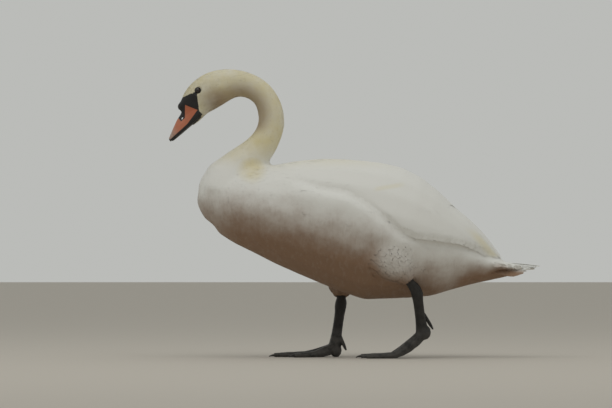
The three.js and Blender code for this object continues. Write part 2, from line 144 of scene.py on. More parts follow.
# %% Finishes
class Finish:
    """A material with one Principled surface. Its methods add nodes and give back wires."""

    def __init__(self, name, roughness=0.6, **constants):
        self.material = bpy.data.materials.new(name)
        self.material.use_nodes = True
        self.tree = self.material.node_tree
        self.tree.nodes.clear()
        output = self.tree.nodes.new("ShaderNodeOutputMaterial")
        self.surface = self.tree.nodes.new("ShaderNodeBsdfPrincipled")
        self.tree.links.new(self.surface.outputs[0], output.inputs[0])
        self.surface.inputs["Roughness"].default_value = roughness
        for socket, value in constants.items():
            self.surface.inputs[socket.replace("_", " ")].default_value = value

    def node(self, kind, settings=None, sockets=None, output=0):
        made = self.tree.nodes.new(kind)
        for name, value in (settings or {}).items():
            setattr(made, name, value)
        pairs = sockets.items() if isinstance(sockets, dict) else enumerate(sockets or [])
        for name, value in pairs:
            self.join(value, made.inputs[name])
        return Wire(self, made.outputs[output])

    def join(self, value, socket):
        if isinstance(value, Wire):
            self.tree.links.new(value.socket, socket)
        else:
            socket.default_value = value

    def set(self, **values):
        for name, value in values.items():
            self.join(value, self.surface.inputs[name.replace("_", " ")])

    def place(self):
        """The point on the surface, as three wires in metres."""
        coordinates = self.node("ShaderNodeTexCoord", output=3)
        split = self.node("ShaderNodeSeparateXYZ", sockets=[coordinates])
        return [Wire(self, split.socket.node.outputs[i]) for i in range(3)]

    def noise(self, scale, detail=3.0, roughness=0.5, stretch=(1, 1, 1)):
        coordinates = self.node("ShaderNodeTexCoord", output=3)
        vector = self.node("ShaderNodeVectorMath", {"operation": "MULTIPLY"}, [coordinates, stretch])
        names = {"Vector": vector, "Scale": scale, "Detail": detail, "Roughness": roughness}
        return self.node("ShaderNodeTexNoise", {}, names)

    def mix(self, share, first, second):
        """first where share is 0 and second where it is 1, both colours."""
        return self.node("ShaderNodeMix", {"data_type": "RGBA"}, {0: share, 6: first, 7: second}, output=2)

    def bump(self, height, distance, strength=1.0):
        names = {"Height": height, "Distance": distance, "Strength": strength}
        self.join(self.node("ShaderNodeBump", {}, names), self.surface.inputs["Normal"])


def colour(red, green, blue):
    return (red, green, blue, 1.0)


# %% [markdown]
# ### Floor and light
#
# The floor is one wide matt plane. The surroundings could be a sky with clouds, but one pale tone fills the
# shadows just as softly and leaves no streaks on the wet eye. The panel above is wide compared with the
# bird, so the shadow under the belly has no hard edge.

# %% Floor, surroundings and lamp
FLOOR_COLOUR = colour(0.56, 0.52, 0.46)
SKY_COLOUR = colour(0.80, 0.81, 0.78)
SKY_STRENGTH = 0.62

floor_finish = Finish("floor", 0.9)
floor_finish.set(Base_Color=FLOOR_COLOUR)
bpy.ops.mesh.primitive_plane_add(size=60)
floor = bpy.context.object
floor.name = "floor"
floor.data.materials.append(floor_finish.material)

world = bpy.data.worlds.new("surroundings")
world.use_nodes = True
world.node_tree.nodes["Background"].inputs["Color"].default_value = SKY_COLOUR
world.node_tree.nodes["Background"].inputs["Strength"].default_value = SKY_STRENGTH
bpy.context.scene.world = world


def panel_lamp(name, place, aim, size, power, tint):
    """A square soft light at place, facing aim."""
    data = bpy.data.lights.new(name, "AREA")
    data.size = size
    data.energy = power
    data.color = tint
    lamp = placed(name, data)
    lamp.location = place
    direction = np.array(aim) - np.array(place)
    lamp.rotation_euler = (
        math.atan2(math.hypot(direction[0], direction[1]), -direction[2]),
        0,
        math.atan2(direction[1], direction[0]) - math.pi / 2,
    )
    print(name, "lamp of", power, "watts")


panel_lamp("overhead", (-0.4, -1.2, 3.2), (0, 0, 0.3), 3.0, 26, (1.0, 0.99, 0.96))

# %% [markdown]
# ## The smooth form
#
# The frame's solids are faceted and parted into neck, head, trunk and thighs. A skin has no seams, so the
# parts are swelled by half a millimetre, which closes the hairlines between them, and melted into one surface
# by a voxel remesh. Smoothing by hand-pushing is possible, but a few rounds of averaging each point with its
# neighbours does the same evenly. Averaging also shrinks a form, so the lost size is measured, blurred and
# given back.


# %% Melt parts together and smooth them
HAIRLINE_SWELL = 0.5 * MM
MERGE_DISTANCE = 1e-6


def node_shape(name):
    """One node of the frame, with its split corners merged again."""
    shape = bmesh.new()
    shape.from_mesh(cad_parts[name].data)
    bmesh.ops.remove_doubles(shape, verts=shape.verts, dist=MERGE_DISTANCE)
    shape.normal_update()
    return shape


def melted(names, voxel, swell=HAIRLINE_SWELL):
    """One closed mesh of quads around the named nodes."""
    points = []
    faces = []
    for name in names:
        shape = node_shape(name)
        start = len(points)
        points += [tuple(v.co + v.normal * swell) for v in shape.verts]
        faces += [[start + v.index for v in f.verts] for f in shape.faces]
        shape.free()
    mesh = bpy.data.meshes.new("melting")
    mesh.from_pydata(points, [], faces)
    lump = placed("melting", mesh)
    remesh = lump.modifiers.new("remesh", "REMESH")
    remesh.mode = "VOXEL"
    remesh.voxel_size = voxel
    baked = lump.evaluated_get(bpy.context.evaluated_depsgraph_get()).to_mesh()
    corners = np.empty(len(baked.vertices) * 3)
    baked.vertices.foreach_get("co", corners)
    quads = np.array([p.vertices for p in baked.polygons])
    bpy.data.objects.remove(lump)
    bpy.data.meshes.remove(mesh)
    return corners.reshape(-1, 3), quads


# %% Averages and normals on a mesh
def edges_of(faces):
    """Each edge once, as pairs of point numbers."""
    sides = np.concatenate([faces[:, [i, (i + 1) % faces.shape[1]]] for i in range(faces.shape[1])])
    return np.unique(np.sort(sides, axis=1), axis=0)


def blurred(values, edges, rounds, strength=0.5):
    """values of each point, averaged with its neighbours a number of times."""
    count = len(values)
    first, second = edges.T
    degree = np.bincount(edges.ravel(), minlength=count)[:, None]
    values = values.reshape(count, -1).copy()
    for _ in range(rounds):
        total = np.empty_like(values)
        for k in range(values.shape[1]):
            total[:, k] = np.bincount(first, values[second, k], count)
            total[:, k] += np.bincount(second, values[first, k], count)
        values += strength * (total / degree - values)
    return values


def unit(vectors):
    return vectors / np.maximum(np.linalg.norm(vectors, axis=-1, keepdims=True), 1e-12)


def point_normals(points, faces):
    """The way that the surface faces at each point."""
    a, b, c, d = (points[faces[:, i]] for i in (0, 1, 2, -1))
    across = np.cross(c - a, d - b) if faces.shape[1] == 4 else np.cross(b - a, c - a)
    total = np.zeros_like(points)
    for i in range(faces.shape[1]):
        for k in range(3):
            total[:, k] += np.bincount(faces[:, i], across[:, k], len(points))
    return unit(total)


def smoothed(points, faces, rounds, give_back=4):
    """points after smoothing, moved back out by the size that the smoothing took."""
    edges = edges_of(faces)
    soft = blurred(points, edges, rounds)
    normals = point_normals(soft, faces)
    lost = np.sum((points - soft) * normals, axis=1)
    return soft + normals * blurred(lost, edges, rounds * give_back)


# %% A form that can be asked for its nearest point
class Form:
    """A surface that tells the nearest point on it and the way that faces out there."""

    def __init__(self, points, faces):
        self.points = points
        self.faces = faces
        self.normals = point_normals(points, faces)
        self.tree = BVHTree.FromPolygons(points.tolist(), faces.tolist())

    def nearest(self, places):
        """(points, normals) on the form, nearest to each place."""
        found = [self.tree.find_nearest(p) for p in places.tolist()]
        spots = np.array([f[0] for f in found])
        corners = self.faces[np.array([f[2] for f in found])]
        apart = np.linalg.norm(self.points[corners] - spots[:, None], axis=2)
        weight = 1 / (apart**2 + 1e-10)
        normals = unit(np.sum(self.normals[corners] * weight[..., None], axis=1))
        return spots, normals


# %% The body's form
FLESH = ["head", "neck_upper", "neck_middle", "neck_lower", "trunk", "tail"]
FLESH += ["wing_left", "wing_right", "thigh_left", "thigh_right"]
FACE = ["bill_upper", "bill_lower", "bill_knob"]
PARTS = FLESH + FACE
BODY_VOXEL = 3.4 * MM
BODY_ROUNDS = 18

body_points, body_faces = melted(PARTS, BODY_VOXEL)
body = Form(smoothed(body_points, body_faces, BODY_ROUNDS), body_faces)
print("body form:", len(body.points), "points")

# %% [markdown]
# ## The lie of the feathers
#
# Feathers grow in tracts and lie like tiles, each root under the tips of the feathers in front of it. On a
# swan they run back over the head, down the neck, down and under at the breast, along the body, and down the
# thighs. Combing them by hand on such a big bird would take days. Instead a few dozen guides, placed along
# the neck, round the trunk, on the wings and down the thighs, each hold a direction and a feather length, and
# every root takes the average of the guides around it.

# %% Guides
# Middle line of the head and neck from the bill back and down, as [x, z, feather length] in millimetres.
NECK_LINE = [
    [-354, 536, 4.2], [-339, 553, 4.6], [-320, 567, 5.2], [-300, 578, 6], [-278, 587, 6.6], [-257, 591, 7.5],
    [-233, 588, 8.5], [-210, 577, 9.5], [-191, 560, 10], [-180, 536, 10.5], [-176, 508, 11.5],
    [-184, 481, 12.5], [-200, 455, 14], [-220, 430, 15], [-239, 405, 17], [-252, 378, 19], [-260, 350, 21],
]
# Cross-sections of the trunk, as [x, z of its middle, up, down, half width, slopes of the feathers on the
# back, the side and the belly in degrees, feather length]. Where the neck stands on it, up is 0.
TRUNK_LINE = [
    [-292, 343, 0, 60, 62, 0, -63, -42, 20], [-253, 332, 0, 79, 88, 0, -52, -28, 22],
    [-197, 321, 84, 96, 112, 5, -38, -17, 24], [-132, 307, 120, 113, 128, 0, -24, -14, 27],
    [-68, 292, 139, 124, 136, -3, -17, -14, 29], [-3, 276, 148, 135, 139, -7, -14, -14, 30],
    [61, 261, 141, 140, 135, -14, -14, -12, 30], [126, 246, 116, 120, 120, -22, -13, -6, 29],
    [186, 231, 76, 104, 98, -26, -10, 6, 28], [238, 215, 42, 70, 72, -14, -6, 14, 27],
    [283, 201, 22, 40, 48, -10, -6, 12, 26], [322, 193, 13, 21, 30, -8, -6, 8, 24],
    [376, 192, 8, 9, 30, -4, -3, 4, 22],
]
# The folded wing, as [x, radius from the trunk's axis, slopes of its feathers low on the side, halfway up and
# on top, feather length].
WING_LINE = [
    [-96, 140, -10, -7, -2, 26], [-35, 150, -20, -13, -5, 30], [25, 152, -30, -22, -12, 34],
    [85, 146, -40, -32, -20, 38], [145, 124, -48, -40, -28, 42], [205, 90, -50, -46, -38, 44],
    [265, 55, -50, -48, -42, 44],
]
WING_ANGLES = (72, 42, 12)
# Each thigh's line from hip to heel, and its feather length.
THIGH_LINES = [
    [[52, -92, 232], [88, -98, 200], [133, -80, 145], 26],
    [[-12, 84, 206], [-24, 80, 168], [-26, 64, 118], 24],
]
# The trunk's axis in side view: its height at x = 0, and how much it rises per millimetre to the rear.
AXIS_HEIGHT, AXIS_SLOPE = 275.3, -0.24
# How far out the trunk's guides stand from its middle, above and below and to the sides, as shares of its
# size there.
NEAR_SKIN, NEAR_FLANK = 0.9, 0.85


# %% Guides in one list
def sloping(degrees):
    """The heading of a feather that lies in side view at so many degrees above level, tip to the rear."""
    return [math.cos(math.radians(degrees)), 0, math.sin(math.radians(degrees))]


guide_rows = []
for k, (x, z, long) in enumerate(NECK_LINE):
    before, after = NECK_LINE[max(k - 1, 0)], NECK_LINE[min(k + 1, len(NECK_LINE) - 1)]
    guide_rows.append([x, 0, z, *unit(np.array([after[0] - before[0], 0, after[1] - before[1]])), long])
for x, z, up, down, wide, back, side, belly, long in TRUNK_LINE:
    if up:
        guide_rows.append([x, 0, z + NEAR_SKIN * up, *sloping(back), long])
    guide_rows.append([x, 0, z - NEAR_SKIN * down, *sloping(belly), long])
    for half in (-NEAR_FLANK * wide, NEAR_FLANK * wide):
        guide_rows.append([x, half, z, *sloping(side), long])
for x, radius, *slopes, long in WING_LINE:
    for angle, slope in zip(WING_ANGLES, slopes):
        up, out = radius * math.cos(math.radians(angle)), radius * math.sin(math.radians(angle))
        for side in (-out, out):
            guide_rows.append([x, side, AXIS_HEIGHT + AXIS_SLOPE * x + up, *sloping(slope), long])
wing_guides = range(len(guide_rows) - 6 * len(WING_LINE), len(guide_rows))
for *joints, long in THIGH_LINES:
    bone = np.array(joints, float)
    down = unit(bone[-1] - bone[0])
    for share in (0.25, 0.5, 0.75, 1.0):
        guide_rows.append([*(bone[0] + share * (bone[-1] - bone[0])), *down, long])

guides = np.array(guide_rows)
guide_places = guides[:, :3] * MM
guide_headings = guides[:, 3:6]
guide_lengths = guides[:, 6] * MM
guide_of_wing = np.isin(np.arange(len(guides)), wing_guides)
print("guides:", len(guides))

# %% Ask the guides
GUIDE_BLUR = 8 * MM


def lie(places, wing=True):
    """(headings, feather lengths) at each place, averaged from the guides around it."""
    away = np.linalg.norm(places[:, None] - guide_places[None], axis=2)
    weight = 1 / (away**2 + GUIDE_BLUR**2) ** 2
    if not wing:
        weight = weight * ~guide_of_wing
    weight /= weight.sum(axis=1, keepdims=True)
    return unit(weight @ guide_headings), weight @ guide_lengths


def along(headings, normals):
    """headings laid flat on the surface."""
    return unit(headings - normals * np.sum(headings * normals, axis=1, keepdims=True))


# %% [markdown]
# ## The head's own ruler
#
# The swan bows its head, so up and back on the head aren't up and back in the room. Everything on the face is
# easier to place with a ruler that turns with it: how far back from the bill's tip, how high above the
# bill's cutting edge, and how far out to the side. The eyes, the bare black skin between eye and bill, and
# the marks on the bill all use this ruler, in the meshes and in the finishes alike.

# %% Head ruler and the bare skin
BILL_TIP = (-393.5, 464.4)
HEAD_BACK = (0.743, 0.669)
HEAD_UP = (-0.669, 0.743)
EYE_BACK, EYE_UP = 117, 41.4
# The edges of the bare black skin, each as [back, up, inward back, inward up]: over it, behind it towards the
# eye, behind it at the corner of the mouth, and under it.
LORES_TOP, LORES_EYE = [83.4, 52.4, -0.337, -0.94], [99.7, 21.6, -0.826, 0.564]
LORES_MOUTH, LORES_FOOT = [84, -7, -0.914, 0.405], [84, -6.3, 0, 1]


def on_head(places):
    """(back, up, out) of each place on the head's ruler, in millimetres."""
    x, y, z = (places / MM).T
    x, z = x - BILL_TIP[0], z - BILL_TIP[1]
    return x * HEAD_BACK[0] + z * HEAD_BACK[1], x * HEAD_UP[0] + z * HEAD_UP[1], np.abs(y)


def inside_line(line, back, up):
    """How far a point lies on the inner side of one edge of the bare skin."""
    return (back - line[0]) * line[2] + (up - line[1]) * line[3]


def least(first, second):
    """The smaller of two values, which are arrays or wires."""
    return first.math("MINIMUM", second) if isinstance(first, Wire) else np.minimum(first, second)


def most(first, second):
    """The larger of two values, which are arrays or wires."""
    return first.math("MAXIMUM", second) if isinstance(first, Wire) else np.maximum(first, second)


def in_lores(back, up):
    """How far inside the bare black skin, in millimetres; works on arrays and on wires."""
    behind = most(inside_line(LORES_EYE, back, up), inside_line(LORES_MOUTH, back, up))
    ends = least(inside_line(LORES_TOP, back, up), inside_line(LORES_FOOT, back, up))
    return least(behind, ends)


# %% [markdown]
# ## Sculpting the form
#
# A folded wing doesn't sit on a swan like a plate. At its front it comes out from under the shoulder
# feathers, and along its lower edge the long flank feathers fold up over it, like a pillow over a blanket.
# Further back the wing lies free over the flank. So the smooth form is pushed in along a groove above the
# wing's lower edge, and pushed out below it. One rule does this for both sides: it measures how far each
# point lies below the edge line in side view.
#
# The face gets a swell around each eye, a hollow in front of it and a soft cheek, and the front of the breast
# is filled a little. Where two solids meet in a sharp fold, such as the back of the neck on the shoulders,
# the form is blurred once more, because feathers bridge such a fold. All of this could be pushed by hand with
# sculpting brushes, but rules are the same on both sides and can be changed by a number.

# %% Soft steps
def step(values, low, high):
    """0 below low, 1 above high, and a smooth step between them."""
    share = np.clip((values - low) / (high - low), 0, 1)
    return share * share * (3 - 2 * share)


def hump(values, middle, half):
    """1 at middle, and falling off softly to both sides of it."""
    return np.exp(-(((values - middle) / half) ** 2))


# %% Groove and flank pillow
# Lower edge of the folded wing in side view, as [x, z].
WING_EDGE = [
    [-170, 384], [-140, 381], [-112, 377], [-68, 363], [-15, 353], [34, 323], [71, 293], [99, 269],
    [132, 257], [165, 253.5], [211, 247.5], [232, 244.5], [253, 236.5], [272, 228], [295, 217], [319, 216],
]
edge_x, edge_z = np.array(WING_EDGE, float).T
edge_slope = np.gradient(edge_z, edge_x)
GROOVE_DEPTH, PILLOW_HEIGHT = 4.5, 6.0


def below_wing_edge(places):
    """How far each place lies below the wing's lower edge in side view, in millimetres."""
    x, z = places[:, 0] / MM, places[:, 2] / MM
    drop = np.interp(x, edge_x, edge_z) - z
    return drop * np.cos(np.arctan(np.interp(x, edge_x, edge_slope)))


def flank_sculpt(places):
    """Millimetres to push each place out, and in where negative."""
    x, y, z = (places / MM).T
    drop = below_wing_edge(places)
    on_side = step(np.abs(y), 40, 75)
    front = step(x, -150, -95) * (1 - step(x, 95, 150))
    groove = -GROOVE_DEPTH * hump(drop, 0, 8) * front
    pillow = PILLOW_HEIGHT * step(drop, 1, 22) * (1 - step(drop, 24, 85)) * front
    return on_side * (groove + pillow)


# %% Face, chest and folds
# Swells and hollows of the face on the head's ruler, as [height, back, half its length, up, half its height].
FACE_SWELLS = {
    "around the eye": [2.4, EYE_BACK, 12, EYE_UP, 10],
    "in front of the eye": [-1.3, 98, 9, 29, 10],
    "cheek": [1.0, 118, 14, 12, 10],
}
CHEST_FILL = 6.0
# Places in side view where the parts meet in a fold or a corner that feathers would cover, as [x, z, reach].
SOFTENED = [[-215, 400, 22], [-188, 416, 20], [-318, 366, 22], [-302, 292, 26], [-330, 310, 20]]
SOFTENED_ROUNDS = 40


def face_sculpt(places):
    """The swell around each eye, the hollow between the eye and the bill, and the cheek."""
    back, up, out = on_head(places)
    swell = sum(
        height * np.exp(-(((back - middle) / long) ** 2) - ((up - level) / high) ** 2)
        for height, middle, long, level, high in FACE_SWELLS.values()
    )
    return step(out, 8, 15) * swell


def body_sculpt(places):
    """Millimetres to push each place of the whole form out, and in where negative."""
    x, y, z = (places / MM).T
    chest = CHEST_FILL * hump(x, -314, 15) * hump(z, 301, 16) * (1 - step(np.abs(y), 25, 70))
    return chest + flank_sculpt(places) + face_sculpt(places)


sculpted = body.points + body.normals * (body_sculpt(body.points) * MM)[:, None]
share = np.zeros(len(sculpted))
for x, z, reach in SOFTENED:
    away = np.linalg.norm(sculpted[:, ::2] / MM - [x, z], axis=1)
    share = np.maximum(share, hump(away, 0, reach))
blunt = blurred(sculpted, edges_of(body_faces), SOFTENED_ROUNDS)
body = Form(sculpted + share[:, None] * (blunt - sculpted), body_faces)
print("form sculpted, box in mm:", (body.points.min(0) / MM).round(1), (body.points.max(0) / MM).round(1))

# %% [markdown]
# ## The skin
#
# The skin is one surface without seams that takes the place of the head, neck, trunk, wings, tail and thighs.
# It lies deeper than the finished outline by the depth of the feathers: under a millimetre on the face and
# about four on the body. On the face it is cut into much smaller squares, because the eyelids are there.
#
# The lids could be separate rings, but real lids are a fold of the skin itself. So the skin is pushed in
# behind the eyeball, and raised into a thin rim around it.

# %% Skin surface
EYE_SEAT = 2.2  # how much deeper the eyeball sits than its node, in millimetres
BARE_DEPTH = 0.25
DEPTH_PER_LENGTH = 0.13  # a longer feather makes a thicker coat


def eye_centre(name):
    """The middle of the eyeball that takes the place of a node."""
    low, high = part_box(name)
    middle = (np.array(low) + np.array(high)) / 2
    middle[1] -= math.copysign(EYE_SEAT * MM, middle[1])
    return middle


eye_middles = {name: eye_centre(name) for name in ("eye_left", "eye_right")}


def coat_depth(places):
    """Millimetres from the finished outline down to the skin."""
    back, up, out = on_head(places)
    depth = BARE_DEPTH + DEPTH_PER_LENGTH * lie(places)[1] / MM
    bare = step(in_lores(back, up), -1.5, 0.5) * step(-back, -125, -120)
    under_bill = step(in_lores(back, up), 0, 4) * step(89 - back - 0.45 * (up - 11), 0, 3)
    return depth * (1 - bare) + BARE_DEPTH * bare + under_bill * (up < 37)


skin_points = body.points - body.normals * (coat_depth(body.points) * MM)[:, None]
skin_mesh = bpy.data.meshes.new("skin")
skin_mesh.from_pydata(skin_points.tolist(), [], body.faces.tolist())
skin = placed("skin", skin_mesh)

# %% Finer squares on the face
FACE_FRONT, FACE_REAR = 54, 130  # on the head's ruler
FACE_CUTS = 3
FACE_ROUNDS = 6

face_mesh = bmesh.new()
face_mesh.from_mesh(skin_mesh)
face_back, face_up, _ = on_head(skin_points)
near_face = (face_back > FACE_FRONT) & (face_back < FACE_REAR) & (face_up > -16)
face_edges = [e for e in face_mesh.edges if near_face[e.verts[0].index] and near_face[e.verts[1].index]]
bmesh.ops.subdivide_edges(face_mesh, edges=face_edges, cuts=FACE_CUTS, use_grid_fill=True)
bmesh.ops.triangulate(face_mesh, faces=[f for f in face_mesh.faces if len(f.verts) > 4])
squared = [v for v in face_mesh.verts if all(len(f.verts) == 4 for f in v.link_faces)]
face_back, face_up, _ = on_head(np.array([v.co for v in face_mesh.verts]))
face_verts = [
    v for v in squared if FACE_FRONT < face_back[v.index] < FACE_REAR + 2 and face_up[v.index] > -20
]
for _ in range(FACE_ROUNDS):
    bmesh.ops.smooth_vert(
        face_mesh, verts=face_verts, factor=0.5, use_axis_x=True, use_axis_y=True, use_axis_z=True
    )
print("points on the face:", len(face_verts))

# %% Eyelids
# Radii around the eye in millimetres: the opening, the rim's crest, and where the lid runs out in the face.
EYE_OPENING, LID_TOP, LID_FOOT = 5.2, 6.8, 11.0
LID_BALL = 6.75  # the ball that the inside of the lids is bent over
LID_THICKNESS = 0.75
EYE_REGION = 16 * MM


def lid_place(spot, middle):
    """Where a point of skin near the eye goes to, so that the lids wrap the eyeball."""
    offset = (spot - middle) / MM
    out_sign = 1 if middle[1] > 0 else -1
    back = offset[0] * HEAD_BACK[0] + offset[2] * HEAD_BACK[1]
    up = offset[0] * HEAD_UP[0] + offset[2] * HEAD_UP[1]
    lean = up - 0.22 * back
    reach = math.hypot(back * 0.93, lean * 1.1)
    if reach > LID_FOOT or offset[1] * out_sign < -4:
        return spot
    if reach < EYE_OPENING:
        out = -1.0
    else:
        seat = math.sqrt(max(LID_BALL**2 - reach**2, 0))
        rise = float(step(np.array(reach), EYE_OPENING - 0.4, EYE_OPENING + 0.5))
        settle = float(step(np.array(reach), LID_TOP, LID_FOOT))
        rim = max(seat, 1.2) + LID_THICKNESS * rise
        out = rim * (1 - settle) + offset[1] * out_sign * settle
    return np.array([spot[0], middle[1] + out_sign * out * MM, spot[2]])


for vert in face_verts:
    spot = np.array(vert.co)
    middle = eye_middles["eye_right" if spot[1] > 0 else "eye_left"]
    if np.linalg.norm(spot - middle) < EYE_REGION:
        vert.co = lid_place(spot, middle)

# %% Front end of the skin
# The bill covers the skin from here on, and the nostrils open right through the bill.
SKIN_END = 60
HEAD_LEVEL = 0.44  # in metres; the head is above it, and the breast, which reaches as far forward, is below
cut_x, cut_z = BILL_TIP[0] + SKIN_END * HEAD_BACK[0], BILL_TIP[1] + SKIN_END * HEAD_BACK[1]
bmesh.ops.bisect_plane(
    face_mesh,
    geom=face_mesh.verts[:] + face_mesh.edges[:] + face_mesh.faces[:],
    plane_co=(cut_x * MM, 0, cut_z * MM),
    plane_no=(HEAD_BACK[0], 0, HEAD_BACK[1]),
    clear_inner=False,
)
cut_back = on_head(np.array([v.co for v in face_mesh.verts]))[0]
ahead = [v for v, back in zip(face_mesh.verts, cut_back) if back < SKIN_END - 0.01 and v.co.z > HEAD_LEVEL]
bmesh.ops.delete(face_mesh, geom=ahead, context="VERTS")
bmesh.ops.holes_fill(face_mesh, edges=[e for e in face_mesh.edges if e.is_boundary], sides=0)
face_mesh.to_mesh(skin_mesh)
face_mesh.free()
skin_mesh.shade_smooth()
print("skin:", len(skin_mesh.polygons), "faces")

# %% [markdown]
# ## A flat map of the skin
#
# Each feather's colour is baked later to a small patch of a flat map, and the patch lies where the feather's
# root is on the map of the skin. The skin could be unwrapped by hand with seams, but nobody will see the map,
# so it is cut into flat islands wherever it turns too far.

# %% Unwrap the skin
BAKE_MAP = "OFBake"
PATCH = 0.003  # side of one feather's patch, as a share of the map
skin_mesh.uv_layers.new(name=BAKE_MAP)
bpy.context.view_layer.objects.active = skin
bpy.ops.object.select_all(action="DESELECT")
skin.select_set(True)
bpy.ops.object.mode_set(mode="EDIT")
bpy.ops.mesh.select_all(action="SELECT")
bpy.ops.uv.smart_project(angle_limit=math.radians(66), island_margin=0.002)
bpy.ops.object.mode_set(mode="OBJECT")


# %% Find a place on the map
def read_rows(collection, attribute, width, kind=float):
    """An attribute of every item in one of a mesh's lists, as rows of width numbers."""
    values = np.empty(len(collection) * width, kind)
    collection.foreach_get(attribute, values)
    return values.reshape(-1, width)


skin_mesh.calc_loop_triangles()
skin_corners = read_rows(skin_mesh.loop_triangles, "vertices", 3, int)
skin_spots = read_rows(skin_mesh.vertices, "co", 3)
skin_map = read_rows(skin_mesh.uv_layers[BAKE_MAP].data, "uv", 2)
skin_map = skin_map[read_rows(skin_mesh.loop_triangles, "loops", 3, int)]
skin_tree = BVHTree.FromPolygons(skin_spots.tolist(), skin_corners.tolist())


def map_place(places):
    """Where each place lies on the flat map of the skin."""
    found = [skin_tree.find_nearest(p) for p in places.tolist()]
    spots = np.array([f[0] for f in found])
    numbers = np.array([f[2] for f in found])
    a, b, c = skin_spots[skin_corners[numbers]].transpose(1, 0, 2)
    whole = np.linalg.norm(np.cross(b - a, c - a), axis=1) + 1e-18
    first = np.linalg.norm(np.cross(b - spots, c - spots), axis=1) / whole
    second = np.linalg.norm(np.cross(c - spots, a - spots), axis=1) / whole
    weight = np.stack([first, second, np.clip(1 - first - second, 0, 1)], axis=1)
    return np.sum(skin_map[numbers] * (weight / weight.sum(1, keepdims=True))[..., None], axis=1)


print("skin mapped in", len(skin_corners), "triangles")

# %% [markdown]
# ## One feather
#
# A swan's body feather is a thin, slightly domed blade with a soft rounded end. Thousands of them could be
# made by instancing one model, but then they would all be stiff copies, and they would stick out wherever the
# body curves. Here each blade is grown on the form instead: it starts at its root, takes a few short steps
# along the surface, and is then given its width. Its root is sunk to the skin, and its tip comes up to the
# finished outline, which is what makes each feather lie over the next. The edges of a blade are laid on the
# form as well, or they would stand off it and draw dark lines. Only across a sharp fold, where the nearest
# point of the form is far from the blade, are they left to bridge it.
#
# Down and body feathers scatter light from inside, so their edges never look as sharp as cut card. The
# surface normals are therefore leaned towards those of the smooth form beneath.

# %% Meshes from arrays
CHANCE = np.random.default_rng(20)


def mesh_object(name, points, quads, triangles, maps, normals):
    """An object from arrays; maps holds a place per point, and normals one per corner."""
    mesh = bpy.data.meshes.new(name)
    loops = np.concatenate([quads.ravel(), triangles.ravel()])
    starts = np.concatenate([np.arange(len(quads)) * 4, len(quads) * 4 + np.arange(len(triangles)) * 3])
    mesh.vertices.add(len(points))
    mesh.vertices.foreach_set("co", points.ravel())
    mesh.loops.add(len(loops))
    mesh.loops.foreach_set("vertex_index", loops)
    mesh.polygons.add(len(starts))
    mesh.polygons.foreach_set("loop_start", starts)
    mesh.update(calc_edges=True)
    mesh.shade_smooth()
    for layer, values in maps.items():
        mesh.uv_layers.new(name=layer).data.foreach_set("uv", values[loops].ravel())
    mesh.normals_split_custom_set(normals.tolist())
    return placed(name, mesh)


# %% Middle lines of feathers
def walk(surface, roots, headings, length, steps, bend):
    """Middle lines on the surface: (points, normals, headings), each feathers x (steps + 1) x 3."""
    spot, normal = surface.nearest(roots)
    heading = along(headings, normal)
    line = [(spot, normal, heading)]
    for _ in range(steps):
        spot, normal = surface.nearest(spot + heading * (length / steps)[:, None])
        heading = along(heading + np.cross(normal, heading) * (bend / steps)[:, None], normal)
        line.append((spot, normal, heading))
    return [np.stack(part, axis=1) for part in zip(*line)]


# %% Shape of a blade
# A style holds, for one piece of plumage: across (the columns of points, from -1 to 1), width and length,
# outline (shares of the length and the widths there), sunk (depth of the root) and ramp (how late the blade
# sinks), lift (of the tip), dome (height of the middle as a share of the half width) and flat (how much of
# the dome is gone at the tip), shaft (height of the quill), roll (tilt about the shaft), wrapped (how many
# rows of edge points are laid on the form) and hold (how far they may go, as a share of the half width),
# soften (how much of the form's own shading) and ragged (unevenness of the tip).
LIFT_START = 0.55  # share of its length from which a feather's tip curls up
EDGE_START = 0.3  # share of the half width beyond which a point belongs to a blade's edges


def blade_rise(style, share, half, across):
    """How far each point of each blade stands off the form, as feathers x rows x columns."""
    height = -style["sunk"][:, None] * (1 - share[None]) ** style["ramp"]
    curl = np.clip((share[None] - LIFT_START) / (1 - LIFT_START), 0, 1) ** 2
    height = height + style["lift"][:, None] * curl
    dome = style["dome"] * (1 - across**2) * (1 - style["flat"] * share**3)[:, None]
    shaft = style["shaft"] * (across == 0) * (1 - 0.8 * share[:, None])
    rise = height[..., None] + half[..., None] * dome[None] + shaft[None]
    return rise + style["roll"][:, None, None] * half[..., None] * across


def wrap_edges(bases, ups, half, style):
    """Lays the edges of the first rows of each blade on the form, where it is near enough."""
    rows = style["wrapped"]
    outer = np.flatnonzero(np.abs(style["across"]) > EDGE_START)
    flat_edges = bases[:, :rows, outer]
    found = [part.reshape(flat_edges.shape) for part in body.nearest(flat_edges.reshape(-1, 3))]
    moved = np.linalg.norm(found[0] - flat_edges, axis=-1, keepdims=True)
    near = moved < style["hold"] * half[:, :rows, None, None]
    bases[:, :rows, outer] = np.where(near, found[0], flat_edges)
    ups[:, :rows, outer] = np.where(near, found[1], ups[:, :rows, outer])


def blade_faces(count, rows, columns):
    """(faces of the top, faces of the underside, triangles of the two ends) of all blades."""
    corner = np.arange(rows)[:, None] * columns + np.arange(columns)[None]
    left, right = corner[:-1, :-1], corner[:-1, 1:]
    top = np.stack([left, right, corner[1:, 1:], corner[1:, :-1]], axis=-1).reshape(-1, 4)
    under = np.stack([corner[:-1, 0], corner[1:, 0], corner[1:, -1], corner[:-1, -1]], axis=-1)
    ends = []
    for k in range(1, columns - 1):
        ends.append([corner[0, 0], corner[0, k + 1], corner[0, k]])
        ends.append([corner[-1, 0], corner[-1, k], corner[-1, k + 1]])
    start = (np.arange(count) * rows * columns)[:, None, None]
    return [(np.array(part)[None] + start).reshape(-1, np.shape(part)[1]) for part in (top, under, ends)]


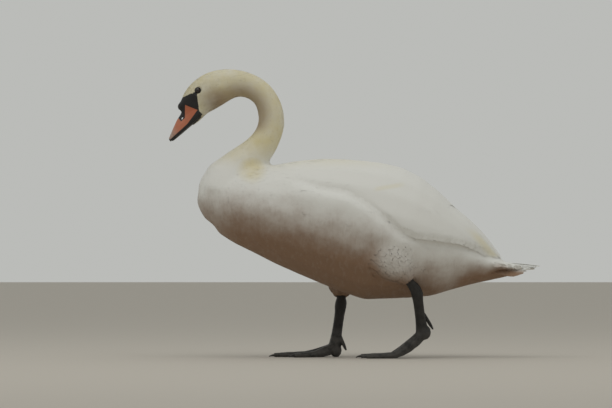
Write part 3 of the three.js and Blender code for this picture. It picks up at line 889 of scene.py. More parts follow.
# %% Grow a piece of plumage
def grow(name, line, style, map_at):
    """Closed thin blades along middle lines. style gives their shape, in metres and shares."""
    spots, normals, headings = line
    count, rows = spots.shape[:2]
    steps = np.linalg.norm(np.diff(spots, axis=1), axis=2).mean(axis=0)
    share = np.concatenate([[0], np.cumsum(steps)]) / steps.sum()
    across = np.array(style["across"])
    columns = len(across)
    sides = np.cross(headings, normals)
    half = style["width"][:, None] / 2 * np.interp(share, *style["outline"])[None]
    bases = spots[:, :, None] + sides[:, :, None] * (half[..., None] * across)[..., None]
    ups = np.repeat(normals[:, :, None], columns, axis=2)
    if style["wrapped"]:
        wrap_edges(bases, ups, half, style)
    points = bases + ups * blade_rise(style, share, half, across)[..., None]
    shake = CHANCE.uniform(-style["ragged"], style["ragged"] * 0.4, (count, columns))
    shake[:, columns // 2] = 0
    points[:, -1] += headings[:, -1][:, None] * (style["length"][:, None] * shake)[..., None]

    own = unit(np.cross(np.gradient(points, axis=2), np.gradient(points, axis=1)))
    facing = unit((1 - style["soften"]) * own + style["soften"] * ups).reshape(-1, 3)
    top, under, ends = blade_faces(count, rows, columns)
    corners = [facing[top.ravel()], -facing[under.ravel()], facing[ends.ravel()]]
    patch = np.empty((count, rows, columns, 2))
    patch[..., 0] = across * 0.5
    patch[..., 1] = share[None, :, None] - 0.5
    patch = (map_at[:, None, None] + PATCH * patch).reshape(-1, 2)
    quads = np.concatenate([top, under])
    return mesh_object(name, points.reshape(-1, 3), quads, ends, {BAKE_MAP: patch}, np.concatenate(corners))


# %% [markdown]
# ## Roots
#
# Real feather roots are spread evenly, close together where the feathers are small. Random places would
# clump, so each candidate is kept only if no kept root is nearer than the spacing. The candidates are sorted
# into small boxes, so that each one is compared with its neighbours only.

# %% Faces of the form and the parts they belong to
form_quads = body.points[body.faces]
form_area = np.linalg.norm(
    np.cross(form_quads[:, 2] - form_quads[:, 0], form_quads[:, 3] - form_quads[:, 1]), axis=1
) / 2
form_middle = form_quads.mean(axis=1)
part_trees = {}
for part in PARTS:
    shape = node_shape(part)
    part_trees[part] = BVHTree.FromBMesh(shape)
    shape.free()


def nearest_part(places):
    """The number in PARTS of the node nearest to each place."""
    away = [[part_trees[n].find_nearest(p)[3] for n in PARTS] for p in places.tolist()]
    return np.argmin(np.array(away), axis=1)


face_part = nearest_part(form_middle)
print("faces of the form:", len(face_part))

# %% Spread the roots
TRIES = 7  # candidates for each square with sides of one gap


def spread(faces, gap):
    """Roots spread over the given faces of the form, no two nearer than gap."""
    areas = form_area[faces]
    tries = int(areas.sum() / gap**2 * TRIES)
    picks = faces[CHANCE.choice(len(faces), tries, p=areas / areas.sum())]
    u, v = CHANCE.random((2, tries, 1))
    a, b, c, d = form_quads[picks].transpose(1, 0, 2)
    places = (a * (1 - u) + b * u) * (1 - v) + (d * (1 - u) + c * u) * v
    cells = np.floor(places / gap).astype(int).tolist()
    boxes = {}
    roots = []
    around = [(i, j, k) for i in (-1, 0, 1) for j in (-1, 0, 1) for k in (-1, 0, 1)]
    for (x, y, z), (i, j, k) in zip(places.tolist(), cells):
        kept = (root for di, dj, dk in around for root in boxes.get((i + di, j + dj, k + dk), ()))
        if all((x - px) ** 2 + (y - py) ** 2 + (z - pz) ** 2 >= gap * gap for px, py, pz in kept):
            boxes.setdefault((i, j, k), []).append((x, y, z))
            roots.append((x, y, z))
    return np.array(roots)


# %% [markdown]
# ## The body feathers
#
# Each tract gets its own piece. The feathers are a few millimetres long on the face and about thirty on the
# trunk. They lie almost flat, with a little disorder in direction, length and lift, because a coat with none
# looks like fish scales. On the thighs the feathers are longer and narrower, stand off more and curl, so the
# tracts there are marked as loose.

# %% Tracts
ANYWHERE = (-999, 999)
# Per tract: the part it grows on, limits of x in millimetres, gap between roots, width as a share of length,
# steps, lift, softness of the shading, disorder in degrees.
TRACTS = {
    "head_feathers": ("head", ANYWHERE, 1.7, 0.40, 3, 0.03, 0.9, 7),
    "neck_feathers_upper": ("neck_upper", ANYWHERE, 2.1, 0.38, 4, 0.05, 0.9, 7),
    "neck_feathers_middle": ("neck_middle", ANYWHERE, 2.4, 0.38, 4, 0.06, 0.9, 8),
    "neck_feathers_lower": ("neck_lower", ANYWHERE, 3.0, 0.40, 4, 0.08, 0.9, 8),
    "breast_feathers": ("trunk", (-999, -120), 3.9, 0.42, 5, 0.16, 0.86, 9),
    "body_feathers_front": ("trunk", (-120, 60), 4.6, 0.42, 5, 0.16, 0.88, 9),
    "body_feathers_rear": ("trunk", (60, 999), 4.6, 0.42, 5, 0.16, 0.88, 9),
    "tail_coverts": ("tail", (-999, 350), 4.5, 0.42, 5, 0.15, 0.8, 6),
    "thigh_feathers_left": ("thigh_left", ANYWHERE, 4.4, 0.2, 8, 1.3, 0.55, 7),
    "thigh_feathers_right": ("thigh_right", ANYWHERE, 4.4, 0.2, 8, 1.3, 0.55, 7),
    "wing_coverts_left": ("wing_left", ANYWHERE, 5.0, 0.5, 5, 0.12, 0.88, 5),
    "wing_coverts_right": ("wing_right", ANYWHERE, 5.0, 0.5, 5, 0.12, 0.88, 5),
}
# How loose and how close-lying feathers differ: their length as a multiple of the guides', how much they
# bend in radians, roll about the shaft, shape of the ramp from the skin to the outline, and the cosine of the
# sharpest turn that a feather may take from one step to the next.
LOOSE = {"stretch": 1.5, "bend": 0.35, "roll": 0.07, "ramp": 1.5, "turn": 0.5}
CLOSE = {"stretch": 1, "bend": 0.12, "roll": 0.012, "ramp": 3, "turn": 0.75}
# Rear end of the small wing coverts, as heights and the x that goes with each, in millimetres.
COVERTS_END = ([300, 320, 332, 340, 370], [20, 60, 170, 215, 225])


# %% Where a tract grows
# On the head's ruler: no bare skin lies behind the first, and no feather has its root ahead of the second.
LORES_REACH, BILL_REACH = 125, 56
EYE_CLEAR = 8.3 * MM


def tract_faces(part, limits):
    """Numbers of the form's faces that a tract grows on."""
    x, _, z = form_middle.T / MM
    inside = (face_part == PARTS.index(part)) & (x > limits[0]) & (x < limits[1])
    if part.startswith("wing"):
        inside &= x < np.interp(z, *COVERTS_END)
    return np.flatnonzero(inside)


def feathers_fit(start, headings, lengths, on_wing):
    """Whether each feather leaves the eyes, the bare skin, the bill and the wing's lower edge free."""
    tips = start + headings * lengths[:, None]
    fit = np.ones(len(start), bool)
    for middle in eye_middles.values():
        for place in (start, tips, (start + tips) / 2):
            fit &= np.linalg.norm(place - middle, axis=1) > EYE_CLEAR
    for place, margin in ((start + headings * lengths[:, None] * 0.9, -0.5), (start, 0.5)):
        back, up, _ = on_head(place)
        fit &= ~((in_lores(back, up) > margin) & (back < LORES_REACH))
    root_back, root_up, _ = on_head(start)
    fit &= ~((root_back < BILL_REACH) & (root_up > -40) & (start[:, 2] > HEAD_LEVEL))
    if on_wing:
        fit &= (below_wing_edge(tips) < 0) | (tips[:, 0] > 100 * MM)
    return fit


# %% Grow the contour feathers
SOFT_OUTLINE = ([0, 0.25, 0.55, 0.8, 1], [0.3, 0.75, 1, 0.92, 0.42])
coats = {}


def triangles_of(piece):
    return sum(len(face.vertices) - 2 for face in piece.data.polygons)


def grow_tract(name, part, limits, gap, slim, steps, lift, soften, disorder):
    """One tract of contour feathers, added to the coats."""
    habit = LOOSE if part.startswith("thigh") else CLOSE
    on_wing = part.startswith("wing")
    roots = spread(tract_faces(part, limits), gap * MM)
    headings, lengths = lie(roots, on_wing)
    start, normals = body.nearest(roots - headings * (lengths * 0.5)[:, None])
    headings, lengths = lie(start, on_wing)
    fit = feathers_fit(start, headings, lengths, on_wing)
    start, headings, lengths, normals = start[fit], headings[fit], lengths[fit], normals[fit]
    count = len(start)
    turn = np.radians(CHANCE.normal(0, disorder, count))[:, None]
    flat = along(headings, normals)
    headings = flat * np.cos(turn) + np.cross(normals, flat) * np.sin(turn)
    lengths = lengths * CHANCE.uniform(0.86, 1.14, count) * habit["stretch"]
    line = walk(body, start, headings, lengths, steps, CHANCE.normal(0, habit["bend"], count))
    # A feather that would turn too sharply, across a fold of the form, is left out.
    smooth = np.sum(line[1][:, 1:] * line[1][:, :-1], axis=2).min(axis=1) > habit["turn"]
    line = [each[smooth] for each in line]
    start, lengths, count = start[smooth], lengths[smooth], np.count_nonzero(smooth)
    style = {
        "across": [-1, 0, 1],
        "width": lengths * slim * CHANCE.uniform(0.85, 1.15, count),
        "length": lengths,
        "outline": SOFT_OUTLINE,
        "sunk": coat_depth(start) * MM,
        "ramp": habit["ramp"],
        "lift": CHANCE.uniform(0.2, 1.0, count) * lift * MM,
        "dome": 0.1,
        "flat": 0.85,
        "shaft": 0,
        "roll": CHANCE.normal(0, habit["roll"], count),
        "wrapped": steps + 1,
        "hold": 0.4,
        "soften": soften,
        "ragged": 0.03,
    }
    coats[name] = grow(name, line, style, map_place(start))
    print(name, count, "feathers", triangles_of(coats[name]), "triangles")


for tract, row in TRACTS.items():
    grow_tract(tract, *row)

# %% [markdown]
# ## The wing feathers
#
# On a closed wing the feathers lie in rows. The small coverts at the front are already grown with the body.
# Behind them come larger coverts, then the broad tertials, and at the back and along the lower edge the long
# flight feathers, whose tips make the wing's outline. Only a narrow strip of each flight feather shows,
# because the feather above lies over it, and those strips give the rear of the wing its long slanting lines.
#
# The tips are what must land in the right place, so each of these feathers is grown from its tip towards its
# root, up the outside of the wing, and then turned round. The last few millimetres of the long ones reach
# straight on past the wing's edge.

# %% The outside of each wing
def outer_sheet(name):
    """The outer face of a wing, open along its edges."""
    faces = body.faces[face_part == PARTS.index(name)]
    middle = body.points[faces].mean(axis=1)
    axis = np.stack([middle[:, 0], middle[:, 0] * 0, AXIS_HEIGHT * MM + AXIS_SLOPE * middle[:, 0]], axis=1)
    facing = np.sum(unit(middle - axis) * body.normals[faces].mean(axis=1), axis=1)
    return Form(body.points, faces[facing > 0.35])


wing_sheets = {"left": outer_sheet("wing_left"), "right": outer_sheet("wing_right")}
SEARCH_UP = 30  # millimetres


def on_sheet(sheet, side, x, z):
    """The point of the wing's outside seen from the side at x and z, in millimetres."""
    for lifted in range(SEARCH_UP):
        hit = sheet.tree.ray_cast((x * MM, side * 0.4, (z + lifted) * MM), (0, -side, 0))[0]
        if hit:
            return np.array(hit)
    return np.array(sheet.tree.find_nearest((x * MM, side * 0.03, z * MM))[0])


def between(line, count):
    """count points spaced evenly along a line of [x, z] points."""
    line = np.array(line, float)
    gone = np.concatenate([[0], np.cumsum(np.linalg.norm(np.diff(line, axis=0), axis=1))])
    where = np.linspace(0, gone[-1], count)
    return np.stack([np.interp(where, gone, line[:, k]) for k in range(2)], axis=1)


# %% Rows of wing feathers
ROUND_OUTLINE = ([0, 0.2, 0.6, 0.85, 0.95, 1], [0.5, 0.85, 1, 0.88, 0.62, 0.25])
LONG_OUTLINE = ([0, 0.1, 0.4, 0.8, 0.93, 0.975, 1], [0.3, 0.6, 0.9, 1, 0.88, 0.62, 0.26])
# Per row: the line of the tips in side view, number, length, width, slope at the tip and at the root in
# degrees, how far the tips reach straight on past the wing, lift at the tip, disorder of the tips, outline.
FLIGHT_TIPS = [
    [104, 268], [132, 256], [165, 252], [211, 246], [232, 243],
    [253, 235], [272, 227], [292, 217], [315, 213],
]
TERTIAL_TIPS = [[222, 272], [258, 250], [286, 230], [317, 211]]
COVERT_TIPS = [[66, 298], [98, 300], [130, 308], [165, 312], [205, 304]]
WING_ROWS = [
    (FLIGHT_TIPS, 42, 170, 24, -60, -36, 9, 0.1, 0.7, LONG_OUTLINE),
    (TERTIAL_TIPS, 8, 150, 26, -58, -34, 3, 0.15, 1.0, LONG_OUTLINE),
    (COVERT_TIPS, 18, 92, 24, -48, -32, 2, 0.05, 5.0, ROUND_OUTLINE),
]
WING_STEPS = 10
# The straight end of a feather, from the tip to where it meets the wing, as shares of its reach.
STRAIGHT_END = np.array([1, 0.78, 0.5, 0.25])


def wing_row(side_name, row):
    """(middle lines, style) of one row, as grow takes them."""
    tips, count, length, width, slope_tip, slope_root, reach, lift, disorder, outline = row
    side = -1 if side_name == "left" else 1
    sheet = wing_sheets[side_name]
    slope = math.radians(slope_tip)
    back = np.tile([-math.cos(slope), 0, -math.sin(slope)], (count, 1))
    places = between(tips, count) + CHANCE.normal(0, disorder, (count, 2)) + reach * back[:, ::2]
    spots = np.array([on_sheet(sheet, side, x, z) for x, z in places])
    lengths = length * MM * CHANCE.uniform(0.95, 1.05, count)
    turn = math.radians(slope_root - slope_tip) * side * np.ones(count)
    spots, normals, headings = walk(body, spots, back, lengths - reach * MM, WING_STEPS, turn)
    ends = spots[:, :1] - headings[:, :1] * (STRAIGHT_END * reach * MM)[None, :, None]
    more = len(STRAIGHT_END)
    # Turned round here, so that the root comes first and the heading points to the tip.
    line = [
        np.concatenate([ends, spots], axis=1)[:, ::-1],
        np.concatenate([normals[:, :1]] * more + [normals], axis=1)[:, ::-1],
        -np.concatenate([headings[:, :1]] * more + [headings], axis=1)[:, ::-1],
    ]
    style = {
        "across": [-1, -0.62, -0.06, 0, 0.06, 0.62, 1],
        "width": width * MM * CHANCE.uniform(0.94, 1.06, count),
        "length": lengths,
        "outline": outline,
        "sunk": np.full(count, 3.2 * MM),
        "ramp": 4,
        "lift": CHANCE.uniform(0.6, 1.1, count) * lift * MM,
        "dome": 0.03,
        "flat": 0.85,
        "wrapped": WING_STEPS + 1,
        "hold": 1.0,
        "shaft": 0.3 * MM,
        "roll": np.full(count, -0.022 * side),
        "soften": 0.7,
        "ragged": 0.008,
    }
    return line, style


# %% Grow and join the rows
ON_THE_MAP = 4  # the row of a long feather's points whose place on the skin gives its place on the map

for side_name in ("left", "right"):
    name = f"wing_feathers_{side_name}"
    rows = [wing_row(side_name, row) for row in WING_ROWS]
    made = [grow(name, line, style, map_place(line[0][:, ON_THE_MAP])) for line, style in rows]
    bpy.ops.object.select_all(action="DESELECT")
    for piece in made:
        piece.select_set(True)
    bpy.context.view_layer.objects.active = made[0]
    bpy.ops.object.join()
    made[0].name = name
    coats[name] = made[0]
    print(name, triangles_of(made[0]), "triangles")

# %% [markdown]
# ## The tail
#
# The tail is a short blunt fan. Its feathers are laid straight from their roots in the rump, the middle pair
# on top and the outer ones lower and shorter, and their worn tips split apart. The tail could be one carved
# block with lines on it, but the separate tips show against the light, so each feather is made. Seen from
# behind, the fan is a low roof: each feather lies lower than the one above it and leans outward as the roof
# does there.

# %% Tail fan
TAIL_FEATHERS = 26
TAIL_STEPS = 10
# Across the fan, -1 is the outermost feather on the left, 0 the middle and 1 the outermost on the right. The
# outer feathers come first in the list. Roots and tips are [x, y, z] in millimetres: the fan is 42 wide to each
# side at its tips, the outer tips are 44 further forward, and the roof drops by 17 to its edges.
spread_share = np.linspace(-1, 1, TAIL_FEATHERS)
spread_share = spread_share[np.argsort(-np.abs(spread_share))]
root_spots = np.stack([262 + 0 * spread_share, 16 * spread_share, 204 - 13 * spread_share**2], axis=1) * MM
tip_spots = np.stack(
    [
        397 - 44 * np.abs(spread_share) ** 1.4 + CHANCE.normal(0, 4, TAIL_FEATHERS),
        42 * spread_share,
        196 - 17 * spread_share**2 + CHANCE.normal(0, 0.2, TAIL_FEATHERS),
    ],
    axis=1,
) * MM
shares = np.linspace(0, 1, TAIL_STEPS + 1)[None, :, None]
tail_lines = root_spots[:, None] * (1 - shares) + tip_spots[:, None] * shares
tail_lines[..., 2] += 3 * MM * np.sin(math.pi * shares[..., 0]) - 0.5 * MM * np.abs(spread_share)[:, None]
tail_headings = unit(np.gradient(tail_lines, axis=1))
lean = 0.81 * spread_share  # sideways slope of each feather, which is that of the roof
tail_up = unit(np.stack([0 * lean, lean, 1 + 0 * lean], axis=1))
tail_up = np.tile(tail_up[:, None], (1, TAIL_STEPS + 1, 1))
tail_up = unit(tail_up - tail_headings * np.sum(tail_up * tail_headings, axis=2, keepdims=True))
tail_style = {
    "across": [-1, -0.6, -0.06, 0, 0.06, 0.6, 1],
    "width": np.full(TAIL_FEATHERS, 26 * MM),
    "length": np.linalg.norm(tip_spots - root_spots, axis=1),
    "outline": LONG_OUTLINE,
    "sunk": np.full(TAIL_FEATHERS, 1.0 * MM),
    "ramp": 1,
    "lift": np.full(TAIL_FEATHERS, 0.5 * MM),
    "dome": 0.125,
    "flat": 0.2,
    "wrapped": 0,
    "shaft": 0.4 * MM,
    "roll": np.zeros(TAIL_FEATHERS),
    "soften": 0.5,
    "ragged": 0.02,
}
tail_name = "tail_feathers"
coats[tail_name] = grow(tail_name, [tail_lines, tail_up, tail_headings], tail_style, map_place(root_spots))
print(tail_name, triangles_of(coats[tail_name]), "triangles")

# %% [markdown]
# ## The colour of white feathers
#
# A swan's white is never quite white. The back is a clean grey white, and the head and neck are stained a
# little yellow. The underside is stained buff by the water it sits in, and most of its deep buff is painted
# shade. The buff under the head and under the arch of the neck, the cream in the crease where the neck meets
# the shoulders and the yellow lines on the wing and shoulder are painted shade too, and the streaks on the
# breast and flank are painted shade and painted light. One set of markings colours both the skin and the
# feathers, so that nothing shows through where the feathers part. The markings could be brushed on in paint
# mode. Here each is placed by the point on the body instead, so it stays sharp and has no seams.

# %% Colours of the plumage
# The buff is real staining deepened by painted shade, the cream also paints the shade in the crease where the
# neck meets the shoulders, and the yellow is painted shade.
WHITE = colour(0.79, 0.785, 0.75)
CREAM_STAIN_AND_CREASE_SHADE = colour(0.71, 0.625, 0.36)
BUFF_STAIN_AND_SHADE = colour(0.25, 0.145, 0.082)
OLIVE = colour(0.52, 0.45, 0.31)
YELLOW_SHADE = colour(0.74, 0.67, 0.43)


def near_spot(x, z, middle, reach):
    """How far inside reach a point lies from a spot in side view, in metres; negative outside."""
    return ((x - middle[0]) ** 2.0 + (z - middle[1]) ** 2.0) ** 0.5 * -1.0 + reach


# %% Where the stains and the painted shade are
def belly_stain_and_shade(x, y, z, cloud):
    """1 where the underside is deep buff, real staining darkened by painted shade, and 0 above its clouded
    edge.
    """
    drop = AXIS_HEIGHT * MM + x * AXIS_SLOPE - z
    stretched = drop * (1.0 + x.band(0.20, 0.28) * 2.2 + x.band(0.28, 0.33) * 6.0)
    stretched = stretched - x.band(0.03, 0.14) * 0.036 + x.band(0.28, 0.33) * 0.02
    belly = (stretched + (cloud - 0.5) * 0.07).band(-0.052, 0.078)
    # The thighs' own feathers get less of the buff.
    thigh_left = near_spot(x, z, (0.088, 0.212), 0.055) * y.band(-0.05, -0.08)
    thigh_right = near_spot(x, z, (-0.02, 0.18), 0.05) * y.band(0.04, 0.07)
    thighs = thigh_left.math("MAXIMUM", thigh_right).band(0.0, 0.035)
    return (belly - x.band(-0.24, -0.32) * 0.2).math("MINIMUM", 1.0) * (1.0 - thighs * 0.6)


def yellow_shade_lines(x, z):
    """Yellow painted shade along the wing's rear edge and a short line of it among the feathers on the
    shoulder.
    """
    primary = ((x - 0.218) * 0.75 + (z - 0.328) * 0.66) * -1.0
    primary = primary.band(0.0, 0.009) * primary.band(0.026, 0.011)
    primary = primary * z.band(0.285, 0.25) * z.band(0.212, 0.222)
    scapular = (z - 0.360 - (x - 0.046) * 0.167).math("ABSOLUTE").band(0.008, 0.001)
    scapular = scapular * x.band(0.035, 0.055) * x.band(0.115, 0.09)
    return (primary * 0.55).math("MAXIMUM", scapular * 0.3)


# %% Plumage colour
def paint_plumage(finish):
    """The plumage's colour at each point, as a wire."""
    x, y, z = finish.place()
    cloud = finish.noise(22, 4, 0.6)
    fine = finish.noise(160, 3, 0.6)
    ripple = finish.noise(60, 4, 0.6, (2.4, 1, 0.9))
    stain_and_shade = belly_stain_and_shade(x, y, z, cloud)

    # The neck's cream is real staining, and the spot where the neck meets the shoulders adds cream as painted
    # shade in the crease there.
    neck = z.band(0.395, 0.47).math("MAXIMUM", near_spot(x, z, (-0.218, 0.405), 0.04).band(0.0, 0.03))
    cream_and_crease_shade = neck * (0.68 + (cloud - 0.5) * 1.3)
    # Painted shade: buff under the arch of the neck and under the head.
    neck_arch_shade = near_spot(x, z, (-0.245, 0.522), 0.078).band(0.0, 0.032) * z.band(0.47, 0.50)
    cheek = near_spot(x, z, (-0.300, 0.555), 0.036).band(0.0, 0.03) * (0.3 + cloud)
    shade = finish.mix(cream_and_crease_shade, WHITE, CREAM_STAIN_AND_CREASE_SHADE)
    shade = finish.mix(neck_arch_shade * 0.55, shade, BUFF_STAIN_AND_SHADE)
    shade = finish.mix(cheek * 0.6, shade, BUFF_STAIN_AND_SHADE)
    # Yellow painted shade on the wing's rear edge and among the shoulder feathers.
    shade = finish.mix(yellow_shade_lines(x, z), shade, YELLOW_SHADE)

    # The underside's buff: partly real staining, mostly painted shade.
    shade = finish.mix(stain_and_shade * 0.97, shade, BUFF_STAIN_AND_SHADE)
    # Darker and lighter streaks where the buff thins: painted shade and painted light of the breast feathers'
    # edges.
    rippled = stain_and_shade * (1.0 - stain_and_shade * 0.5)
    shade = finish.mix(ripple.band(0.5, 0.68) * rippled * 0.4, shade, BUFF_STAIN_AND_SHADE)
    shade = finish.mix(ripple.band(0.5, 0.32) * rippled * 0.1, shade, WHITE)
    freckle = fine.band(0.55, 0.75) * neck * 0.4
    return finish.mix(freckle, shade, OLIVE)


feather_finish = Finish("plumage", 0.75)
feather_finish.set(Base_Color=paint_plumage(feather_finish))
for piece in coats.values():
    piece.data.materials.append(feather_finish.material)
    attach(piece, "root")
print("pieces of plumage:", len(coats))

# %% [markdown]
# ## The colour of the face
#
# The bill is painted here too, because its orange runs on a little way over the skin in front of the eye. It
# is orange, paler towards the tip, with a black cutting edge, black nostrils, a black base and a dark nail.
# All the borders are drawn with the head's ruler and roughened a little by noise, since none of them is a
# straight line on a bird. Painted masks would do as well, but these follow the ruler if the head moves.

# %% Bill paint
NOSTRIL = (52, 19.6)  # its middle on the head's ruler
BLACK_HORN = colour(0.010, 0.009, 0.0085)
# The line where the orange ends, in the same form as the edges of the bare skin; it faces the eye.
BILL_BORDER = [75.9, 37, 0.905, 0.426]


def head_wires(finish):
    """(back, up, out) on the head's ruler as wires, in millimetres."""
    x, y, z = finish.place()
    x, z = x - BILL_TIP[0] * MM, z - BILL_TIP[1] * MM
    back = x * (HEAD_BACK[0] / MM) + z * (HEAD_BACK[1] / MM)
    return back, x * (HEAD_UP[0] / MM) + z * (HEAD_UP[1] / MM), y.math("ABSOLUTE") / MM


def paint_bill(finish, back, up):
    """(colour, fine grain, cloudy noise) of the bill at a place on the head's ruler."""
    grain = finish.noise(900, 4, 0.6)
    cloud = finish.noise(90, 3, 0.5)
    soft = (cloud - 0.5) * 3.0
    orange = finish.mix((back + soft).band(34, 8), colour(0.50, 0.165, 0.085), colour(0.40, 0.28, 0.22))
    orange = finish.mix((back + soft * 2.0).band(54, 84) * 0.6, orange, colour(0.49, 0.12, 0.05))
    orange = finish.mix(cloud.band(0.52, 0.72) * 0.25, orange, colour(0.33, 0.12, 0.07))
    lip = (up - ((back - 51.0) * 0.2).math("MAXIMUM", 0.0) + soft * 0.3).band(3.7, 2.6)
    bound = ((back - 57.7) * 1.066 + 17.5).math("MAXIMUM", 16.5)
    culmen = (up - bound + soft * 0.25).band(-0.7, 0.5) * (back + soft * 0.3).band(44.5, 47.5)
    base = (inside_line(BILL_BORDER, back, up) + soft * 0.3).band(-0.4, 0.6)
    nail = (back + up * 0.5).band(6.0, 3.5)
    black = lip.math("MAXIMUM", culmen).math("MAXIMUM", base).math("MAXIMUM", nail)
    return finish.mix(black, orange, BLACK_HORN), grain, cloud


# %% Skin finish
skin_finish = Finish("skin", 0.55)
back, up, out = head_wires(skin_finish)
bill_colour, grain, cloud = paint_bill(skin_finish, back, up)
bare = (in_lores(back, up) + (cloud - 0.5) * 2.0).band(-0.8, 0.2) * back.band(128.0, 122.0)
eye_reach = ((back - EYE_BACK) ** 2.0 + (up - EYE_UP) ** 2.0) ** 0.5
rim = eye_reach.band(7.5, 6.7) * back.band(200.0, 150.0)
face_colour = skin_finish.mix(rim, bill_colour, BLACK_HORN)
skin_colour = skin_finish.mix(bare.math("MAXIMUM", rim), paint_plumage(skin_finish), face_colour)
skin_finish.set(Base_Color=skin_colour)
skin_finish.bump(grain * 0.6 + cloud * 0.4, 0.0003, 0.6)
skin.data.materials.append(skin_finish.material)
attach(skin, "root")
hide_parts(*FLESH)

# %% [markdown]
# ## The bare parts
#
# Bill, legs and feet have no feathers, so their own shape is what shows. Each is melted from its solid at a
# fine grain, smoothed just enough to lose the flat facets, and then carved by a rule that says how far each
# point of the surface goes out or in. Modelling the same folds by hand in sculpt mode would work too, but a
# rule gives both sides of the bird the same care.

# %% Carve a bare part
MELT_ROUNDS = 26


def carved(name, nodes, voxel, rounds, rule, finish, swell=0.3, melt_more=None):
    """A smooth piece in place of the named nodes, carved by rule, which gives millimetres for each point.

    melt_more gives, from 0 to 1, how far each point also goes to a much smoother surface.
    """
    points, faces = melted(nodes, voxel * MM, swell * MM)
    points = smoothed(points, faces, rounds, 3)
    if melt_more:
        share = melt_more(points)[:, None]
        points = points * (1 - share) + blurred(points, edges_of(faces), MELT_ROUNDS) * share
    normals = point_normals(points, faces)
    points = points + normals * (rule(points, normals) * MM)[:, None]
    points[:, 2] = np.maximum(points[:, 2], 0)
    mesh = bpy.data.meshes.new(name)
    mesh.from_pydata(points.tolist(), [], faces.tolist())
    mesh.shade_smooth()
    mesh.materials.append(finish.material)
    piece = placed(name, mesh)
    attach(piece, "root")
    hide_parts(*nodes)
    print(name, len(faces) * 2, "triangles")


def plain(points, normals):
    """The rule for a part that isn't carved."""
    return np.zeros(len(points))


# %% [markdown]
# ### Bill and knob
#
# A mute swan's bill is horn over bone: a low saddle at the nostrils, a rim along the cutting edge, and a
# hard nail at the tip. The black knob of a female is small. The nostril's opening is there in the solid. It
# could be left as a clean hole, but a real one sits in a hollow, so a hollow is carved around it.

# %% Bill
NAIL_LENGTH = 12.5


def bill_relief(points, normals):
    back, up, out = on_head(points)
    side = step(np.abs(normals[:, 1]), 0.3, 0.7)
    above_slot = up - NOSTRIL[1] - 0.4 * (back - NOSTRIL[0])
    slot = np.exp(-(((back - NOSTRIL[0]) / 6.5) ** 4) - (above_slot / 3.2) ** 2)
    hollow = np.exp(-(((back - 55) / 13) ** 2) - (((up - 19) / 6) ** 2))
    nail = step(back, NAIL_LENGTH, NAIL_LENGTH - 1.5) * step(up, 2.5, 4)
    groove = hump(back, NAIL_LENGTH, 0.9) * step(up, 2.5, 4)
    edge = hump(up, 2.6, 0.7) * side * step(back, 6, 12)
    ridge = hump(out, 0, 3.0) * step(up, 6, 12) * step(back, 16, 40)
    saddle = -1.8 * hump(back, 55, 9) * step(up, 17, 27)
    raised = saddle - 0.9 * slot * side - 0.7 * hollow * side
    return raised + 0.35 * nail - 0.3 * groove - 0.35 * edge + 0.35 * ridge


# %% Horn of the upper bill
bill_finish = Finish("bill_horn")
back, up, out = head_wires(bill_finish)
bill_colour, grain, cloud = paint_bill(bill_finish, back, up)
bill_finish.set(Base_Color=bill_colour, Roughness=grain * 0.2 + 0.3)
bill_finish.bump(grain * 0.6 + cloud * 0.4, 0.00025, 0.5)
carved("bill_upper_horn", ["bill_upper"], 0.8, 8, bill_relief, bill_finish)

# %% Lower bill and knob
black_finish = Finish("bill_black")
wrinkle = black_finish.noise(700, 4, 0.65)
worn_black = black_finish.mix(wrinkle.band(0.4, 0.75), BLACK_HORN, colour(0.028, 0.025, 0.022))
black_finish.set(Base_Color=worn_black, Roughness=wrinkle * 0.25 + 0.3)
black_finish.bump(wrinkle, 0.0004, 0.6)
carved("bill_lower_horn", ["bill_lower"], 0.8, 5, plain, black_finish, 0.2)


def knob_relief(points, normals):
    back, up, out = on_head(points)
    return 0.25 * np.sin(up * 1.4 + 0.6 * np.sin(out * 0.9)) * step(out, 0, 4) - 0.4 * hump(out, 0, 1.2)


carved("knob_skin", ["bill_knob"], 0.6, 10, knob_relief, black_finish, 0.5)

# %% [markdown]
# ### Eyes
#
# The eye is a wet ball, nearly black, with a dark brown iris that shows only close to. A plain glossy ball
# looks like a bead, so it has a domed cornea in front, and the lids, which are part of the skin, cut its
# outline.

# %% Eye finish
eye_finish = Finish("eye", 0.04, IOR=1.38, Coat_Weight=0.6, Coat_Roughness=0.02)
back, up, out = head_wires(eye_finish)
reach = ((back - EYE_BACK) ** 2.0 + (up - EYE_UP) ** 2.0) ** 0.5
iris = reach.band(2.5, 2.9) * reach.band(4.6, 4.1)
streak = eye_finish.noise(1500, 3, 0.6)
brown = eye_finish.mix(streak, colour(0.020, 0.010, 0.006), colour(0.055, 0.026, 0.012))
eye_finish.set(Base_Color=eye_finish.mix(iris, colour(0.003, 0.0028, 0.0028), brown))

# %% Eyeballs
EYE_RADIUS = 6.6
CORNEA_REACH, CORNEA_RISE = 4.2, 0.45

for name, middle in eye_middles.items():
    ball = bmesh.new()
    bmesh.ops.create_uvsphere(ball, u_segments=48, v_segments=32, radius=EYE_RADIUS * MM)
    side = math.copysign(1, middle[1])
    for vert in ball.verts:
        reach_mm = math.hypot(vert.co.x, vert.co.z) / MM
        if vert.co.y * side > 0 and reach_mm < CORNEA_REACH:
            vert.co.y += side * CORNEA_RISE * MM * (1 - (reach_mm / CORNEA_REACH) ** 2)
        vert.co = vert.co + type(vert.co)(middle)
    mesh = bpy.data.meshes.new(name + "_ball")
    ball.to_mesh(mesh)
    ball.free()
    mesh.shade_smooth()
    mesh.materials.append(eye_finish.material)
    eyeball = placed(name + "_ball", mesh)
    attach(eyeball, "root")
    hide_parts(name)
    print(name, "at", (middle / MM).round(1))

